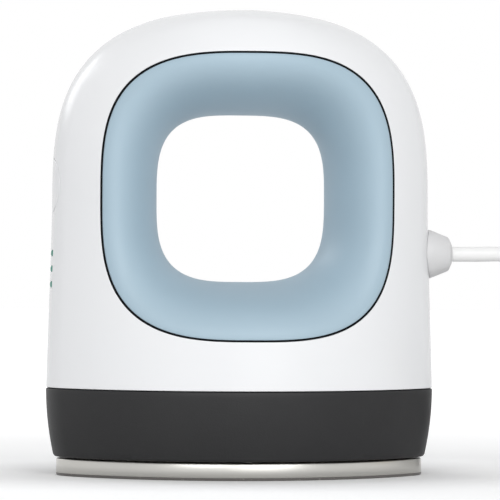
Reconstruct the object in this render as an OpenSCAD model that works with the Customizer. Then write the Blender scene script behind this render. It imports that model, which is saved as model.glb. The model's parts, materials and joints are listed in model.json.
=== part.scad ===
// Mini handheld heat press: a squarish arch with a grip hole through it, standing on its heat plate.
// X runs to the cord side, Y into the back, Z up. The origin is the centre of the plate's underside.

/* [Body] */
// Width of the body at the seam above the base
body_w = 88.8; // [86:0.2:92]
// Depth of the body at the seam above the base
body_d = 57; // [55:0.5:60]
// Height of the top of the arch above the table
body_h = 106; // [103:0.5:112]
// Radius of the body's two ends, seen from above
body_end_r = 14; // [12.5:0.5:19]
// Width of the body where the sides turn into the arch
waist_w = 86.4; // [84:0.2:88]
// Height where the sides turn into the arch
arch_z = 60; // [56:0.5:64]
// Height where the faces start to lean towards the top
lean_z = 56; // [52:0.5:60]
// Wall of the shells, the grip rings and the base skirt
wall = 2.2; // [1.8:0.1:2.4]

/* [Grip] */
// Height of the centre of the grip hole
hole_z = 63.2; // [62:0.2:64]
// Width of the grip hole at its narrowest
hole_w = 38.8; // [36:0.2:41]
// Height of the grip hole at its narrowest
hole_h = 38.2; // [36:0.2:41]
// Width of the coloured grip ring
ring_w = 66; // [63:0.2:67]
// Height of the coloured grip ring
ring_h = 64.2; // [62:0.2:66]
// Width of the dark bead round the grip ring
bead_w = 0.45; // [0.3:0.05:0.8]
// Depth of the dark bead below the face
bead_h = 1.5; // [1:0.1:1.8]

/* [Base] */
// Height of the seam between the shells and the base skirt
seam_z = 20; // [18.5:0.1:21]
// Height of the lower edge of the base skirt
skirt_z = 4.3; // [4.2:0.1:5]
// How far the base skirt draws in towards its lower edge
skirt_taper = 1.8; // [0.8:0.1:2]
// Size of the chamfer along the base skirt's lower edge
skirt_chamfer = 0.5; // [0.3:0.1:0.8]
// Open line between the shells and the base skirt
seam_gap = 0.2; // [0.1:0.05:0.4]
// How far the skirt's inner rim reaches up into the shells
spigot_h = 3; // [2:0.2:4]
// Thickness of the skirt's inner rim
spigot_t = 1.4; // [1:0.1:1.6]
// Thickness of the deck inside the base skirt
deck_t = 2; // [1.6:0.1:2.4]

/* [Heat plate] */
// Length of the heat plate
plate_w = 84; // [82:0.2:85]
// Width of the heat plate
plate_d = 49; // [47:0.2:50]
// Radius of the heat plate's two ends
plate_end_r = 9; // [7:0.5:13]
// Thickness of the aluminium heat plate
plate_t = 3.3; // [3:0.1:3.5]
// Thickness of the ceramic coat under the heat plate
coat_t = 0.6; // [0.3:0.1:0.8]
// Diameter of the tubular heating element
element_d = 5; // [4:0.1:5.5]
// Distance between the two legs of the heating element
element_span = 20; // [17:0.5:22]
// Thickness of the insulation board over the element
insulation_t = 2; // [1.5:0.1:2.5]
// Thickness of the sheet heat shield
shield_t = 0.6; // [0.4:0.1:0.8]

/* [Power button] */
// Height of the centre of the power button
button_z = 65.9; // [64:0.2:67]
// Diameter of the power button
button_d = 12.3; // [10:0.1:13]
// Open line round the power button
button_gap = 0.3; // [0.15:0.05:0.35]
// Thickness of the power button's face
button_t = 2.4; // [2:0.1:2.8]
// Travel of the power button
button_travel = 0.6; // [0.4:0.1:0.8]

/* [Indicator lights] */
// Height of the lowest indicator light
light_z = 43.4; // [42.5:0.1:44]
// Distance between one indicator light and the next
light_pitch = 3.55; // [3:0.05:4]
// Number of indicator lights
light_count = 3; // [1:1:3]
// Width of an indicator light, front to back
light_w = 6; // [4:0.2:10]
// Height of an indicator light
light_h = 1.4; // [1:0.1:1.8]

/* [Boards] */
// Thickness of the circuit boards
board_t = 1.6; // [1:0.2:1.8]
// Length of the power board
power_board_w = 58; // [56:1:60]
// Width of the power board
power_board_d = 29; // [28:0.5:30]
// Height of the power board's underside
power_board_z = 23; // [22.8:0.1:24]
// Width of the control board, front to back
control_board_d = 16; // [14:0.5:17]
// Height of the control board
control_board_h = 33; // [32:0.5:34]
// Distance of the control board's outer face from the middle of the body
control_board_x = 33.8; // [33:0.1:34.2]
// Height of the tact switch's body above its board
switch_h = 3.4; // [2.5:0.1:3.6]

/* [Screws] */
// Diameter of the screws that close the shells
shell_screw_d = 2.5; // [2:0.1:3]
// Diameter of the screws that hold the heat plate
plate_screw_d = 3; // [2.5:0.1:3]
// Diameter of the small screws in the boards and the cord clamp
small_screw_d = 2; // [1.6:0.1:2.2]

/* [Cord] */
// Diameter of the cord
cord_d = 3.5; // [3.2:0.1:3.6]
// Height of the cord where it leaves the body
cord_z = 50.7; // [50:0.1:52]
// Diameter of the strain relief where it meets the shell
gland_d = 11.1; // [10:0.1:12]
// Diameter of the strain relief's tapered end
gland_tip_d = 7.75; // [7:0.05:8.5]
// How far the strain relief stands out of the body
gland_l = 5.4; // [5:0.1:6]
// Length of the chamfer at the strain relief's tapered end
gland_chamfer = 0.75; // [0.5:0.05:1]
// Turns of cord in each of the coil's layers
coil_turns = 3; // [2:1:3]
// Gap between one turn of the coiled cord and the next
coil_gap = 0.5; // [0.45:0.05:0.6]
// Thickness of the tie round the coil
tie_t = 0.7; // [0.5:0.1:0.7]
// Width of the tie round the coil
tie_w = 9; // [6:0.5:12]

/* [Plug] */
// Length of the plug's body
plug_l = 34; // [28:1:38]
// Width of the plug's body
plug_w = 25; // [22:0.5:30]
// Height of the plug's body
plug_h = 17; // [15:0.5:19]
// Length of the plug's blades
blade_l = 17; // [15.9:0.1:18.3]

/* [Hidden] */
$fn = 48;
cut = 1;                     // how far a cutting solid runs past what it cuts
fit = 0.02;                  // radial clearance of a close fit
bead_fit = 0.04;             // on each side of the dark bead
seat = 0.1;                  // clearance of a piece on its seat
tiny = 0.01;

// Curvature of the outline: powers of the superellipses
arch_side_power = 3.2;
arch_top_power = 2.55;
lean_power = 4;
crown_power = 3.5;
ring_power = 3.15;
hole_power = 3.3;

// How finely the moulded surfaces are drawn
bottom_steps = 12;           // from the middle of the base seam to the body's end
side_steps = 7;              // up the straight side
arch_steps = 17;             // from the side to the top of the arch
face_steps = 8;              // from the grip ring out to the edge of a shell
inner_steps = 5;             // the same, on the inside
funnel_steps = 7;            // from the grip ring's edge into the hole
skirt_steps = 6;             // up the base skirt
skirt_quarter_steps = 18;    // round a quarter of the base skirt
plan_steps = 30;             // round a quarter of the plate and the layers above it

half_w = body_w / 2;
half_d = body_d / 2;
bow_r = bow_radius(half_w, half_d, body_end_r);

// Heights of the stack above the plate
plate_top = coat_t + plate_t;
element_sink = 0.8;          // how deep the element lies in its groove
element_z = plate_top + element_d / 2 - element_sink;
insulation_z = element_z + element_d / 2 + seat;
shield_z = insulation_z + insulation_t + seat;
deck_z = shield_z + shield_t + seat;
deck_top = deck_z + deck_t;
board_top = power_board_z + board_t;

// Plan sizes of the skirt's rim and of the layers inside the skirt
spigot_room = 0.25;          // between the rim and the shells
spigot_inset = wall + spigot_room;
layer_room = 1.6;            // between a layer and the rim
layer_inset = wall + spigot_t + layer_room;

// Places of the screws
shell_screw_at = 22;         // each way from the centre of the hole
boss_l = 10;
boss_r = shell_screw_d / 2 + 1.8;
shell_screw_l = 17;
rib_t = 1.6;
plate_boss_r = plate_screw_d / 2 + 1.7;
plate_screw_x = 33;
plate_screw_y = element_span / 2 + element_d / 2 + plate_boss_r + 1;
plate_screw_places = [[plate_screw_x, 0], [-plate_screw_x, 0], [0, plate_screw_y], [0, -plate_screw_y]];
board_inset = 3.4;
board_screw_places = [
    for (side = [-1, 1], face = [-1, 1])
    [side * (power_board_w / 2 - board_inset), face * (power_board_d / 2 - board_inset)]
];
standoff_r = small_screw_d / 2 + 1.4;
small_screw_l = 6;

// Heating element and its wires, which pass the end of the power board
terminal_l = 6;              // ceramic bead and the clear pin behind it
terminal_pin_l = 2.5;        // pin inside the wire's end
wire_r = 0.9;
wire_room = 0.6;             // between the wires and the end of the power board
wire_x = -power_board_w / 2 - wire_room - wire_r;
wire_hole_r = wire_r + 0.7;
wire_lift = 4;               // height of the heater wires' run over the power board
wire_run = 6;                // how far that run goes in over the board, and where it ends from the middle
element_x = wire_x + terminal_l + terminal_pin_l;
element_bend_x = 16;         // where the element's legs meet its bend
element_leg = element_bend_x - element_x;
sensor_x = 8;
fuse_x = -12;
fuse_r = 1.9;
sensor_size = [7, 4, 2.4];

// Blocks on the power board
terminal_size = [9, 12, 7];
terminal_inset = 6.5;        // from the end of the power board
terminal_x = power_board_w / 2 - terminal_size.x / 2 - terminal_inset;
relay_size = [19, 13, 11];
capacitor_r = 4;
capacitor_h = 9;
capacitor_x = -16;

// Wires inside the body
rib_gap = 2 * wire_r + 4 * seat;  // each way from the middle plane, for the wires to pass
core_bend = 4;               // from the end of the sheath to where the two cores turn down
core_lift = 3;               // height of the cores' run over the terminal block
core_spread = 3;             // of each core from the middle, at the terminal block

// Button and switch
button_side_x = side_x(button_z);
switch_w = 6;
actuator_r = 1.7;
actuator_sink = 1.2;
switch_face_x = -control_board_x - switch_h;
plunger_r = 1.6;
button_back_x = -button_side_x + button_t;
actuator_out = 1;            // how far the switch's actuator stands out of its body
plunger_l = switch_face_x - actuator_out - button_back_x;
flange_w = 1.1;
flange_t = 1;
flange_room = 0.45;          // between the flange and the wall
control_board_z = light_z - 3;

// Strain relief, clamp and cord
gland_x = side_x(cord_z);
gland_end = gland_x + gland_l;
gland_neck_r = gland_d / 2 - 1.2;
gland_flange_r = gland_d / 2 + 0.8;
clamp_x = 34;
clamp_w = 5;
clamp_d = 7;
clamp_h = 17;
clamp_screw_dz = 6;
cord_tail_x = 31;

// Route of the cord down to the table, points chosen by hand
lead_route = [
    [gland_end, 0, cord_z], [55, 0, 50.7], [61.5, 0, 50.7], [67.6, 0, 49.5], [72.8, 0, 46], [76.3, 0, 40.8],
    [77.5, 0, 34.7], [77.5, 0, 26], [77.5, 0, 18.8], [77.5, 1.2, 12.6], [77.5, 4.7, 7.4], [77.5, 9.9, 4],
    [77.5, 16, 2.75], [77.5, 18, 2.75]
];
lead_end = lead_route[len(lead_route) - 1];

// Coil: it spirals in and out again at a steady rate, a layer higher each time
coil_layers = 4;
coil_outer_r = 27.5;
coil_step = cord_d + coil_gap;
coil_loop_steps = 24;
coil_sides = 6;
coil_turns_all = coil_layers * coil_turns;
coil_centre = [lead_end.x + coil_outer_r, lead_end.y + cord_d];
climb = 0.5;                 // share of a turn in which the cord climbs a layer
tie_room = 0.3;              // between the turns and the tie

// Cord from the coil to the plug: half a turn inwards, over the coil that the plug lies on
lead_sides = 8;
tail_r = 15;
tail_steps = 14;
coil_top = lead_end.z + coil_step * (coil_layers - 1) + cord_d / 2;
plug_start = [coil_centre.x + tail_r, coil_centre.y - 1, coil_top + seat + plug_h / 2];
blade_w = 6.35;
blade_t = 1.5;
blade_span = 12.7;
blade_root = 5;

echo(least_gap_of_coil = least_gap(coil_route()));
echo(cord_length = route_length(lead_route) + route_length(coil_route()) + route_length(tail_route()));
echo(plug_face = plug_start - [0, plug_l, 0]);

// ---- Outline of the body ----

// Radius of the two bowed sides that run smoothly into ends of radius end_r, a by b from the middle
function bow_radius(a, b, end_r) = (a * a + b * b - 2 * a * end_r) / (2 * (b - end_r));

// Half-width of the body at a height, with its skin moved in by inset
function side_x(z, inset = 0) =
    z < arch_z
    ? half_w + (waist_w / 2 - half_w) * (z - seam_z) / (arch_z - seam_z) - inset
    : (waist_w / 2 - inset)
      * pow(max(0, 1 - pow((z - arch_z) / (body_h - inset - arch_z), arch_side_power)), 1 / arch_top_power);

// Half-depth of the body at a height, in its middle plane
function face_y(z, inset = 0) =
    (half_d - inset)
    * pow(max(0, 1 - pow(max(0, z - lean_z) / (body_h - inset - lean_z), lean_power)), 1 / crown_power);

// Depth of the outline seen from above, at a distance x from the middle
function bow(x) =
    let (centre = half_w - body_end_r, split = bow_r * centre / (bow_r - body_end_r))
    abs(x) <= split
    ? half_d - bow_r + sqrt(bow_r * bow_r - x * x)
    : sqrt(max(0, body_end_r * body_end_r - pow(abs(x) - centre, 2)));

// Distance of the body's skin from its middle plane, at x and z
function skin(x, z, inset = 0) =
    face_y(z, inset) / half_d * bow(x * half_w / max(tiny, side_x(z, inset)));

// Point of an outline with bowed sides and round ends, whose normal is turned by angle from the X axis
function lens_point(angle, a, b, end_r) =
    let (r = bow_radius(a, b, end_r), split = atan2(r - b, a - end_r))
    angle <= split
    ? [a - end_r + end_r * cos(angle), end_r * sin(angle)]
    : [r * cos(angle), b - r + r * sin(angle)];

// The whole of such an outline, with steps points to a quarter of it
function lens_points(a, b, end_r, steps) =
    let (
        quarter = [for (i = [0:steps - 1]) lens_point(90 * i / steps, a, b, end_r)],
        half = [each quarter, [0, b], for (i = [steps - 1:-1:1]) [-quarter[i].x, quarter[i].y]]
    )
    [each half, for (p = half) -p];

// Outline of a shell seen from the front, from the middle of the seam round by the cord side
function front_outline(inset) =
    let (
        right = [
            for (i = [1:bottom_steps]) let (p = lens_point(90 - 90 * i / bottom_steps, half_w, half_d, body_end_r))
                [p.x * side_x(seam_z, inset) / half_w, seam_z],
            for (i = [1:side_steps]) let (z = seam_z + (arch_z - seam_z) * i / side_steps) [side_x(z, inset), z],
            for (i = [1:arch_steps - 1]) let (
                a = 90 * i / arch_steps,
                z = arch_z + (body_h - inset - arch_z) * pow(sin(a), 2 / arch_side_power)
            ) [side_x(z, inset), z]
        ],
        left = [for (i = [len(right) - 1:-1:0]) [-right[i].x, right[i].y]]
    )
    [[0, seam_z], each right, [0, body_h - inset], each left];

// Point of a squarish ring round the hole's centre, in the direction of p
function ring_point(p, a, b, power) =
    let (
        angle = atan2(p.y - hole_z, p.x),
        r = pow(pow(abs(cos(angle)) / a, power) + pow(abs(sin(angle)) / b, power), -1 / power)
    )
    [r * cos(angle), hole_z + r * sin(angle)];

function grip_edge(p, grow) = ring_point(p, ring_w / 2 + grow, ring_h / 2 + grow, ring_power);
function hole_edge(p, grow) = ring_point(p, hole_w / 2 + grow, hole_h / 2 + grow, hole_power);

// ---- Solids swept through rings of points ----

// Solid whose skin runs through the rings, in order, and back to the first one
module ring_solid(rings) {
    count = len(rings);
    n = len(rings[0]);
    faces = [
        for (i = [0:count - 1], j = [0:n - 1])
        let (a = i * n + j, b = i * n + (j + 1) % n, c = (i + 1) % count * n + (j + 1) % n, d = (i + 1) % count * n + j)
        each [[a, b, c], [a, c, d]]
    ];
    polyhedron(points = [for (ring = rings) each ring], faces = faces);
}

// Round tube along a route, as one closed solid
module tube(route, r, sides) {
    last = len(route) - 1;
    frames = tube_frames(route);
    points = [
        for (i = [0:last], k = [0:sides - 1])
        let (a = 360 * (k + 0.5) / sides)
        route[i] + r * frames[i][2] * (cos(a) * frames[i][0] + sin(a) * frames[i][1])
    ];
    sleeve = [
        for (i = [0:last - 1], k = [0:sides - 1])
        let (a = i * sides + k, b = i * sides + (k + 1) % sides)
        each [[a, a + sides, b], [b, a + sides, b + sides]]
    ];
    lids = [for (k = [1:sides - 2]) each [[0, k, k + 1], [last * sides, last * sides + k + 1, last * sides + k]]];
    polyhedron(points = points, faces = concat(sleeve, lids));
}

function unit(v) = v / norm(v);

// Two directions square to the route at each point, and how much a mitred corner widens the tube
function tube_frames(route) =
    let (
        last = len(route) - 1,
        steps = [for (i = [0:last - 1]) unit(route[i + 1] - route[i])],
        along = [for (i = [0:last]) unit(steps[max(0, i - 1)] + steps[min(last - 1, i)])]
    )
    [
        for (
            i = 0, side = unit(cross(along[0], abs(along[0].z) > 0.9 ? [1, 0, 0] : [0, 0, 1]));
            i <= last;
            i = i + 1, side = i > last ? side : unit(side - (side * along[i]) * along[i])
        )
        [side, cross(along[i], side), 1 / sqrt(along[i] * steps[min(last - 1, i)])]
    ];

function route_length(route) = total([for (i = [1:len(route) - 1]) norm(route[i] - route[i - 1])]);
function total(values, i = 0) = i < len(values) ? values[i] + total(values, i + 1) : 0;

// ---- Parts of the shells ----

function shell_ring(reach, inset) = [
    for (p = front_outline(inset))
    let (edge = grip_edge(p, bead_w / 2), share = 1 - pow(1 - reach, 2), at = edge + (p - edge) * share)
    [at.x, -skin(at.x, at.y, inset), at.y]
];

module shell_skin() {
    ring_solid([
        for (i = [0:face_steps]) shell_ring(i / face_steps, 0),
        for (i = [inner_steps:-1:0]) shell_ring(i / inner_steps, wall)
    ]);
}

// Distance from a point to the middle of the wall, along an angle and at a depth
function wall_reach(from, angle, depth, near = 5, far = 45, tries = 18) =
    let (d = (near + far) / 2, x = from.x + d * cos(angle), z = from.y + d * sin(angle))
    tries == 0 ? d
    : z < body_h - wall / 2 && abs(x) < side_x(z, wall / 2) && skin(x, z, wall / 2) > depth
    ? wall_reach(from, angle, depth, d, far, tries - 1)
    : wall_reach(from, angle, depth, near, d, tries - 1);

// Posts that the closing screws run through, each with a rib out to the wall
module shell_bosses(bore_r) {
    for (side = [-1, 1], level = [-1, 1]) {
        at = [shell_screw_at, hole_z + level * shell_screw_at];
        lean = level > 0 ? 45 : -30;
        depth = boss_l - 1;
        difference() {
            union() {
                translate([side * at.x, 0, at.y])
                    rotate([90, 0, 0])
                    cylinder(r = boss_r, h = boss_l);
                translate([side * at.x, 0, at.y])
                    rotate([0, side > 0 ? -lean : lean - 180, 0])
                    translate([0, -depth, -rib_t / 2])
                    cube([wall_reach(at, lean, depth), depth - rib_gap, rib_t]);
            }
            translate([side * at.x, cut, at.y])
                rotate([90, 0, 0])
                cylinder(r = bore_r, h = boss_l + 2 * cut);
        }
    }
}

// Posts that hold the outer half of the control board's edges
module board_posts() {
    post_w = 2.4;
    post_h = 4;
    x = -control_board_x + board_t / 2 - post_w;
    for (z = [control_board_z + 1, control_board_z + control_board_h - post_h - 1]) {
        reach = skin(x, z + post_h / 2, wall / 2);
        translate([x, -reach, z])
            cube([post_w, reach - control_board_d / 2, post_h]);
    }
}

// Openings in the two ends of the shells
module end_openings() {
    depth = wall + 2 * cut;
    translate([-button_side_x - cut, 0, button_z])
        rotate([0, 90, 0])
        cylinder(r = button_d / 2 + button_gap, h = depth + cut);
    for (i = [0:light_count - 1])
        translate([-side_x(light_z) - cut, -light_w / 2 - seat / 2, light_z + i * light_pitch - light_h / 2 - seat / 2])
        cube([depth + cut, light_w + seat, light_h + seat]);
    translate([gland_x - wall - cut, 0, cord_z])
        rotate([0, 90, 0])
        cylinder(r = gland_neck_r + seat / 2, h = depth + cut);
}

module front_shell() {
    color("white")
        difference() {
            union() {
                shell_skin();
                shell_bosses(shell_screw_d / 2 + fit);
                board_posts();
                clamp_posts();
            }
            end_openings();
        }
}

module rear_shell() {
    color("white")
        difference() {
            mirror([0, 1, 0]) {
                shell_skin();
                shell_bosses(shell_screw_d / 2 + seat);
                board_posts();
            }
            end_openings();
        }
}

// Screw along -Z with its head above z = 0
module screw(d, l, head_h) {
    slot = d / 4;
    difference() {
        cylinder(d = 1.9 * d, h = head_h);
        for (turn = [0, 90])
            rotate(turn)
            translate([-0.6 * d, -slot / 2, head_h / 2])
            cube([1.2 * d, slot, head_h]);
    }
    translate([0, 0, -l])
        cylinder(d = d, h = l + tiny);
}

module shell_screws() {
    color("silver")
        for (x = [-1, 1], z = [-1, 1])
        translate([x * shell_screw_at, boss_l, hole_z + z * shell_screw_at])
        rotate([-90, 0, 0])
        screw(shell_screw_d, shell_screw_l, shell_screw_d * 0.6);
}

// ---- Grip rings and their beads ----

// Slope of the face at the grip ring's edge, towards the hole
function edge_slope(edge) =
    let (inward = unit([-edge.x, hole_z - edge.y]) * 0.5, next = edge + inward)
    (skin(next.x, next.y) - skin(edge.x, edge.y)) / 0.5;

function funnel_ring(turn, back) = [
    for (p = front_outline(0))
    let (
        edge = grip_edge(p, -bead_w / 2),
        end = hole_edge(p, back),
        share = sin(turn),
        at = edge + (end - edge) * share,
        depth = (skin(edge.x, edge.y) - back) * cos(turn),
        swell = edge_slope(edge) * norm(end - edge) * share * pow(1 - share, 2)
    )
    [at.x, -depth - swell, at.y]
];

module grip_ring() {
    ring_solid([
        for (i = [0:funnel_steps]) funnel_ring(90 * (1 - i / funnel_steps), 0),
        for (i = [0:inner_steps]) funnel_ring(90 * i / inner_steps, wall)
    ]);
}

module front_grip_ring() {
    color("lightsteelblue")
        grip_ring();
}

module rear_grip_ring() {
    color("lightsteelblue")
        mirror([0, 1, 0])
        grip_ring();
}

function bead_ring(grow, sink) = [
    for (p = front_outline(0)) let (edge = grip_edge(p, grow)) [edge.x, -skin(edge.x, edge.y) + sink, edge.y]
];

module trim_bead() {
    grow = bead_w / 2 - bead_fit;
    ring_solid([
        bead_ring(-grow, seat),
        bead_ring(grow, seat),
        bead_ring(grow, bead_h),
        bead_ring(-grow, bead_h)
    ]);
}

module front_trim_bead() {
    color("black")
        trim_bead();
}

module rear_trim_bead() {
    color("black")
        mirror([0, 1, 0])
        trim_bead();
}

// ---- Base ----

// The body's outline seen from above, moved in by inset
module body_lens(inset) {
    polygon(lens_points(half_w - inset, half_d - inset, body_end_r - inset, plan_steps));
}

// The heat plate's outline, moved in by inset
module plate_lens(inset) {
    polygon(lens_points(plate_w / 2 - inset, plate_d / 2 - inset, plate_end_r - inset, plan_steps));
}

function plan_ring(inset, z) = [
    for (p = lens_points(half_w, half_d, body_end_r, skirt_quarter_steps))
    [p.x * (half_w - inset) / half_w, p.y * (half_d - inset) / half_d, z]
];

// How far the skirt's side lies inside the body's outline at a height
function skirt_inset(z) = skirt_taper * pow((seam_z - z) / (seam_z - skirt_z), 2);

module skirt_wall() {
    top = seam_z - seam_gap;
    low = skirt_z + skirt_chamfer;
    rim_inset = skirt_inset(skirt_z) + wall;
    ring_solid([
        plan_ring(rim_inset, deck_z + deck_t / 4),
        plan_ring(spigot_inset + spigot_t, deck_top - deck_t / 2),
        plan_ring(spigot_inset + spigot_t, seam_z + spigot_h),
        plan_ring(spigot_inset, seam_z + spigot_h),
        plan_ring(spigot_inset, top),
        for (i = [skirt_steps:-1:0]) let (z = low + (top - low) * i / skirt_steps)
            plan_ring(skirt_inset(z), z),
        plan_ring(skirt_inset(skirt_z) + skirt_chamfer / 3, skirt_z + skirt_chamfer / 3),
        plan_ring(skirt_inset(skirt_z) + skirt_chamfer, skirt_z),
        plan_ring(rim_inset, skirt_z)
    ]);
}

module base_skirt() {
    color("dimgray")
        difference() {
            union() {
                skirt_wall();
                translate([0, 0, deck_z])
                    linear_extrude(deck_t)
                    body_lens(spigot_inset + spigot_t / 2);
                for (p = board_screw_places)
                    translate([p.x, p.y, deck_z])
                    cylinder(r = standoff_r, h = power_board_z - deck_z);
            }
            layer_holes(deck_z, deck_t, plate_screw_d / 2 + seat);
            for (p = board_screw_places)
                translate([p.x, p.y, power_board_z - small_screw_l])
                cylinder(d = small_screw_d + 2 * fit, h = small_screw_l + cut);
        }
}

// Holes for the plate screws and the wires, through a layer
module layer_holes(z, t, screw_r) {
    for (p = plate_screw_places)
        translate([p.x, p.y, z - cut])
        cylinder(r = screw_r, h = t + 2 * cut);
    for (side = [-1, 1])
        translate([wire_x, side * element_span / 2, z - cut])
        cylinder(r = wire_hole_r, h = t + 2 * cut);
    for (x = [sensor_x, fuse_x])
        translate([x, 0, z - cut])
        cylinder(r = wire_hole_r, h = t + 2 * cut);
}

// ---- Heat plate and what lies on it ----

// The U of the heating element as a round bar
module element_bar(r) {
    for (side = [-1, 1])
        translate([element_x, side * element_span / 2, 0])
        rotate([0, 90, 0])
        cylinder(r = r, h = element_leg);
    translate([element_x + element_leg, 0, 0])
        rotate(-90)
        rotate_extrude(angle = 180)
        translate([element_span / 2, 0])
        circle(r = r);
}

module heat_plate() {
    color("silver")
        difference() {
            union() {
                translate([0, 0, coat_t])
                    linear_extrude(plate_t)
                    plate_lens(0);
                for (p = plate_screw_places)
                    translate([p.x, p.y, coat_t])
                    cylinder(r = plate_boss_r, h = deck_z - coat_t);
            }
            translate([0, 0, element_z])
                element_bar(element_d / 2 + fit);
            for (p = plate_screw_places)
                translate([p.x, p.y, plate_top])
                cylinder(r = plate_screw_d / 2 + fit, h = deck_z);
        }
}

module plate_coating() {
    round_h = coat_t / 2;
    color("gray") {
        linear_extrude(coat_t - round_h)
            plate_lens(round_h);
        translate([0, 0, coat_t - round_h])
            linear_extrude(round_h)
            plate_lens(0);
    }
}

module plate_screws() {
    color("silver")
        for (p = plate_screw_places)
        translate([p.x, p.y, deck_top])
        screw(plate_screw_d, deck_top - plate_top, plate_screw_d * 0.6);
}

module heating_element() {
    color("lightgray")
        translate([0, 0, element_z])
        element_bar(element_d / 2);
}

module element_terminals() {
    bead_l = terminal_l / 2;
    color("ivory")
        for (side = [-1, 1])
        translate([element_x, side * element_span / 2, element_z])
        rotate([0, -90, 0]) {
            cylinder(r = element_d / 2 - element_sink - seat, h = bead_l);
            cylinder(r = wire_r, h = terminal_l + terminal_pin_l);
        }
}

module insulation_board() {
    color("beige")
        difference() {
            translate([0, 0, insulation_z])
                linear_extrude(insulation_t)
                body_lens(layer_inset);
            layer_holes(insulation_z, insulation_t, plate_boss_r + seat);
        }
}

module heat_shield() {
    color("silver")
        difference() {
            translate([0, 0, shield_z])
                linear_extrude(shield_t)
                body_lens(layer_inset);
            layer_holes(shield_z, shield_t, plate_boss_r + seat);
        }
}

module thermistor() {
    color("tan")
        translate([sensor_x - sensor_size.x / 2, -sensor_size.y / 2, plate_top])
        cube(sensor_size);
}

module thermal_fuse() {
    l = 10;
    foot = 1;
    color("orange") {
        translate([fuse_x - l / 2, 0, plate_top + fuse_r])
            rotate([0, 90, 0])
            cylinder(r = fuse_r, h = l);
        translate([fuse_x - l / 2, -fuse_r, plate_top])
            cube([l, 2 * fuse_r, foot]);
    }
}

// ---- Boards ----

module power_board() {
    color("seagreen")
        difference() {
            translate([-power_board_w / 2, -power_board_d / 2, power_board_z])
                cube([power_board_w, power_board_d, board_t]);
            for (p = board_screw_places)
                translate([p.x, p.y, power_board_z - cut])
                cylinder(r = small_screw_d / 2 + seat, h = board_t + 2 * cut);
        }
}

module board_screws() {
    color("silver")
        for (p = board_screw_places)
        translate([p.x, p.y, board_top])
        screw(small_screw_d, small_screw_l, small_screw_d * 0.5);
}

// Block on the power board
module on_board(x, y, size) {
    translate([x - size.x / 2, y - size.y / 2, board_top])
        cube(size);
}

module terminal_block() {
    color("green")
        on_board(terminal_x, 0, terminal_size);
}

module power_relay() {
    color("midnightblue")
        on_board(0, 0, relay_size);
}

module capacitor() {
    color("goldenrod")
        translate([capacitor_x, 0, board_top])
        cylinder(r = capacitor_r, h = capacitor_h);
}

// Round wire of straight runs, with round corners
module wire(points) {
    for (i = [1:len(points) - 1]) {
        run = points[i] - points[i - 1];
        translate(points[i - 1])
            rotate([0, acos(run.z / norm(run)), atan2(run.y, run.x)])
            cylinder(r = wire_r, h = norm(run), $fn = 24);
    }
    for (i = [1:len(points) - 2])
        translate(points[i])
        sphere(r = wire_r, $fn = 24);
}

module heater_wires() {
    rise = board_top + wire_lift;
    color("firebrick")
        for (side = [-1, 1]) {
            y = side * element_span / 2;
            wire([
                [wire_x, y, element_z + wire_r + seat],
                [wire_x, y, rise],
                [wire_x + wire_run, side * wire_run, rise],
                [wire_x + wire_run, side * wire_run, board_top]
            ]);
        }
}

module sensor_wires() {
    color("gold") {
        wire([[sensor_x, 0, plate_top + sensor_size.z], [sensor_x, 0, power_board_z]]);
        wire([[fuse_x, 0, plate_top + 2 * fuse_r], [fuse_x, 0, power_board_z]]);
    }
}

module mains_wires() {
    y = wire_r + seat / 2;
    x = cord_tail_x - core_bend;
    z = board_top + terminal_size.z + core_lift;
    color("saddlebrown")
        for (side = [-1, 1])
        wire([
            [cord_tail_x, side * y, cord_z],
            [x, side * y, cord_z],
            [x, side * y, z],
            [x, side * core_spread, z],
            [terminal_x, side * core_spread, z],
            [terminal_x, side * core_spread, board_top + terminal_size.z]
        ]);
}

module control_wires() {
    pitch = 2 * wire_r + seat;
    nearest = -shell_screw_at - boss_r - wire_r - seat;
    color("gray")
        for (i = [0, 1]) {
            x = nearest - i * pitch;
            z = control_board_z + 4 - i * (pitch + seat);
            wire([[-control_board_x + board_t, 0, z], [x, 0, z], [x, 0, board_top]]);
        }
}

module control_board() {
    color("seagreen")
        translate([-control_board_x, -control_board_d / 2, control_board_z])
        cube([board_t, control_board_d, control_board_h]);
}

// ---- Button, switch and lights ----

module tact_switch() {
    color("dimgray")
        difference() {
            translate([switch_face_x, -switch_w / 2, button_z - switch_w / 2])
                cube([switch_h, switch_w, switch_w]);
            translate([switch_face_x - cut, 0, button_z])
                rotate([0, 90, 0])
                cylinder(r = actuator_r + seat / 2, h = actuator_sink + button_travel + cut);
        }
}

module switch_actuator() {
    color("black")
        translate([button_back_x + plunger_l, 0, button_z])
        rotate([0, 90, 0])
        cylinder(r = actuator_r, h = actuator_out + actuator_sink - seat);
}

// Upright cylinder that follows the rounded end of the body, moved in by inset
module end_form(z, inset, h) {
    r = body_end_r * face_y(z) / half_d - inset;
    translate([-side_x(z) + inset + r, 0, z - h / 2])
        cylinder(r = r, h = h, $fn = 120);
}

module power_button() {
    h = button_d + 4 * flange_w;
    color("white") {
        intersection() {
            end_form(button_z, 0, h);
            translate([-button_side_x - cut, 0, button_z])
                rotate([0, 90, 0])
                cylinder(d = button_d, h = button_t + cut);
        }
        intersection() {
            end_form(button_z, wall + flange_room, h);
            translate([-button_side_x, 0, button_z])
                rotate([0, 90, 0])
                cylinder(r = button_d / 2 + flange_w, h = button_t + flange_t);
        }
        translate([button_back_x - cut, 0, button_z])
            rotate([0, 90, 0])
            cylinder(r = plunger_r, h = plunger_l + cut);
    }
}

module indicator_leds() {
    size = [0.8, 3.2, 1.4];
    color("limegreen")
        for (i = [0:light_count - 1])
        translate([-control_board_x - size.x, -size.y / 2, light_z + i * light_pitch - size.z / 2])
        cube(size);
}

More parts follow.
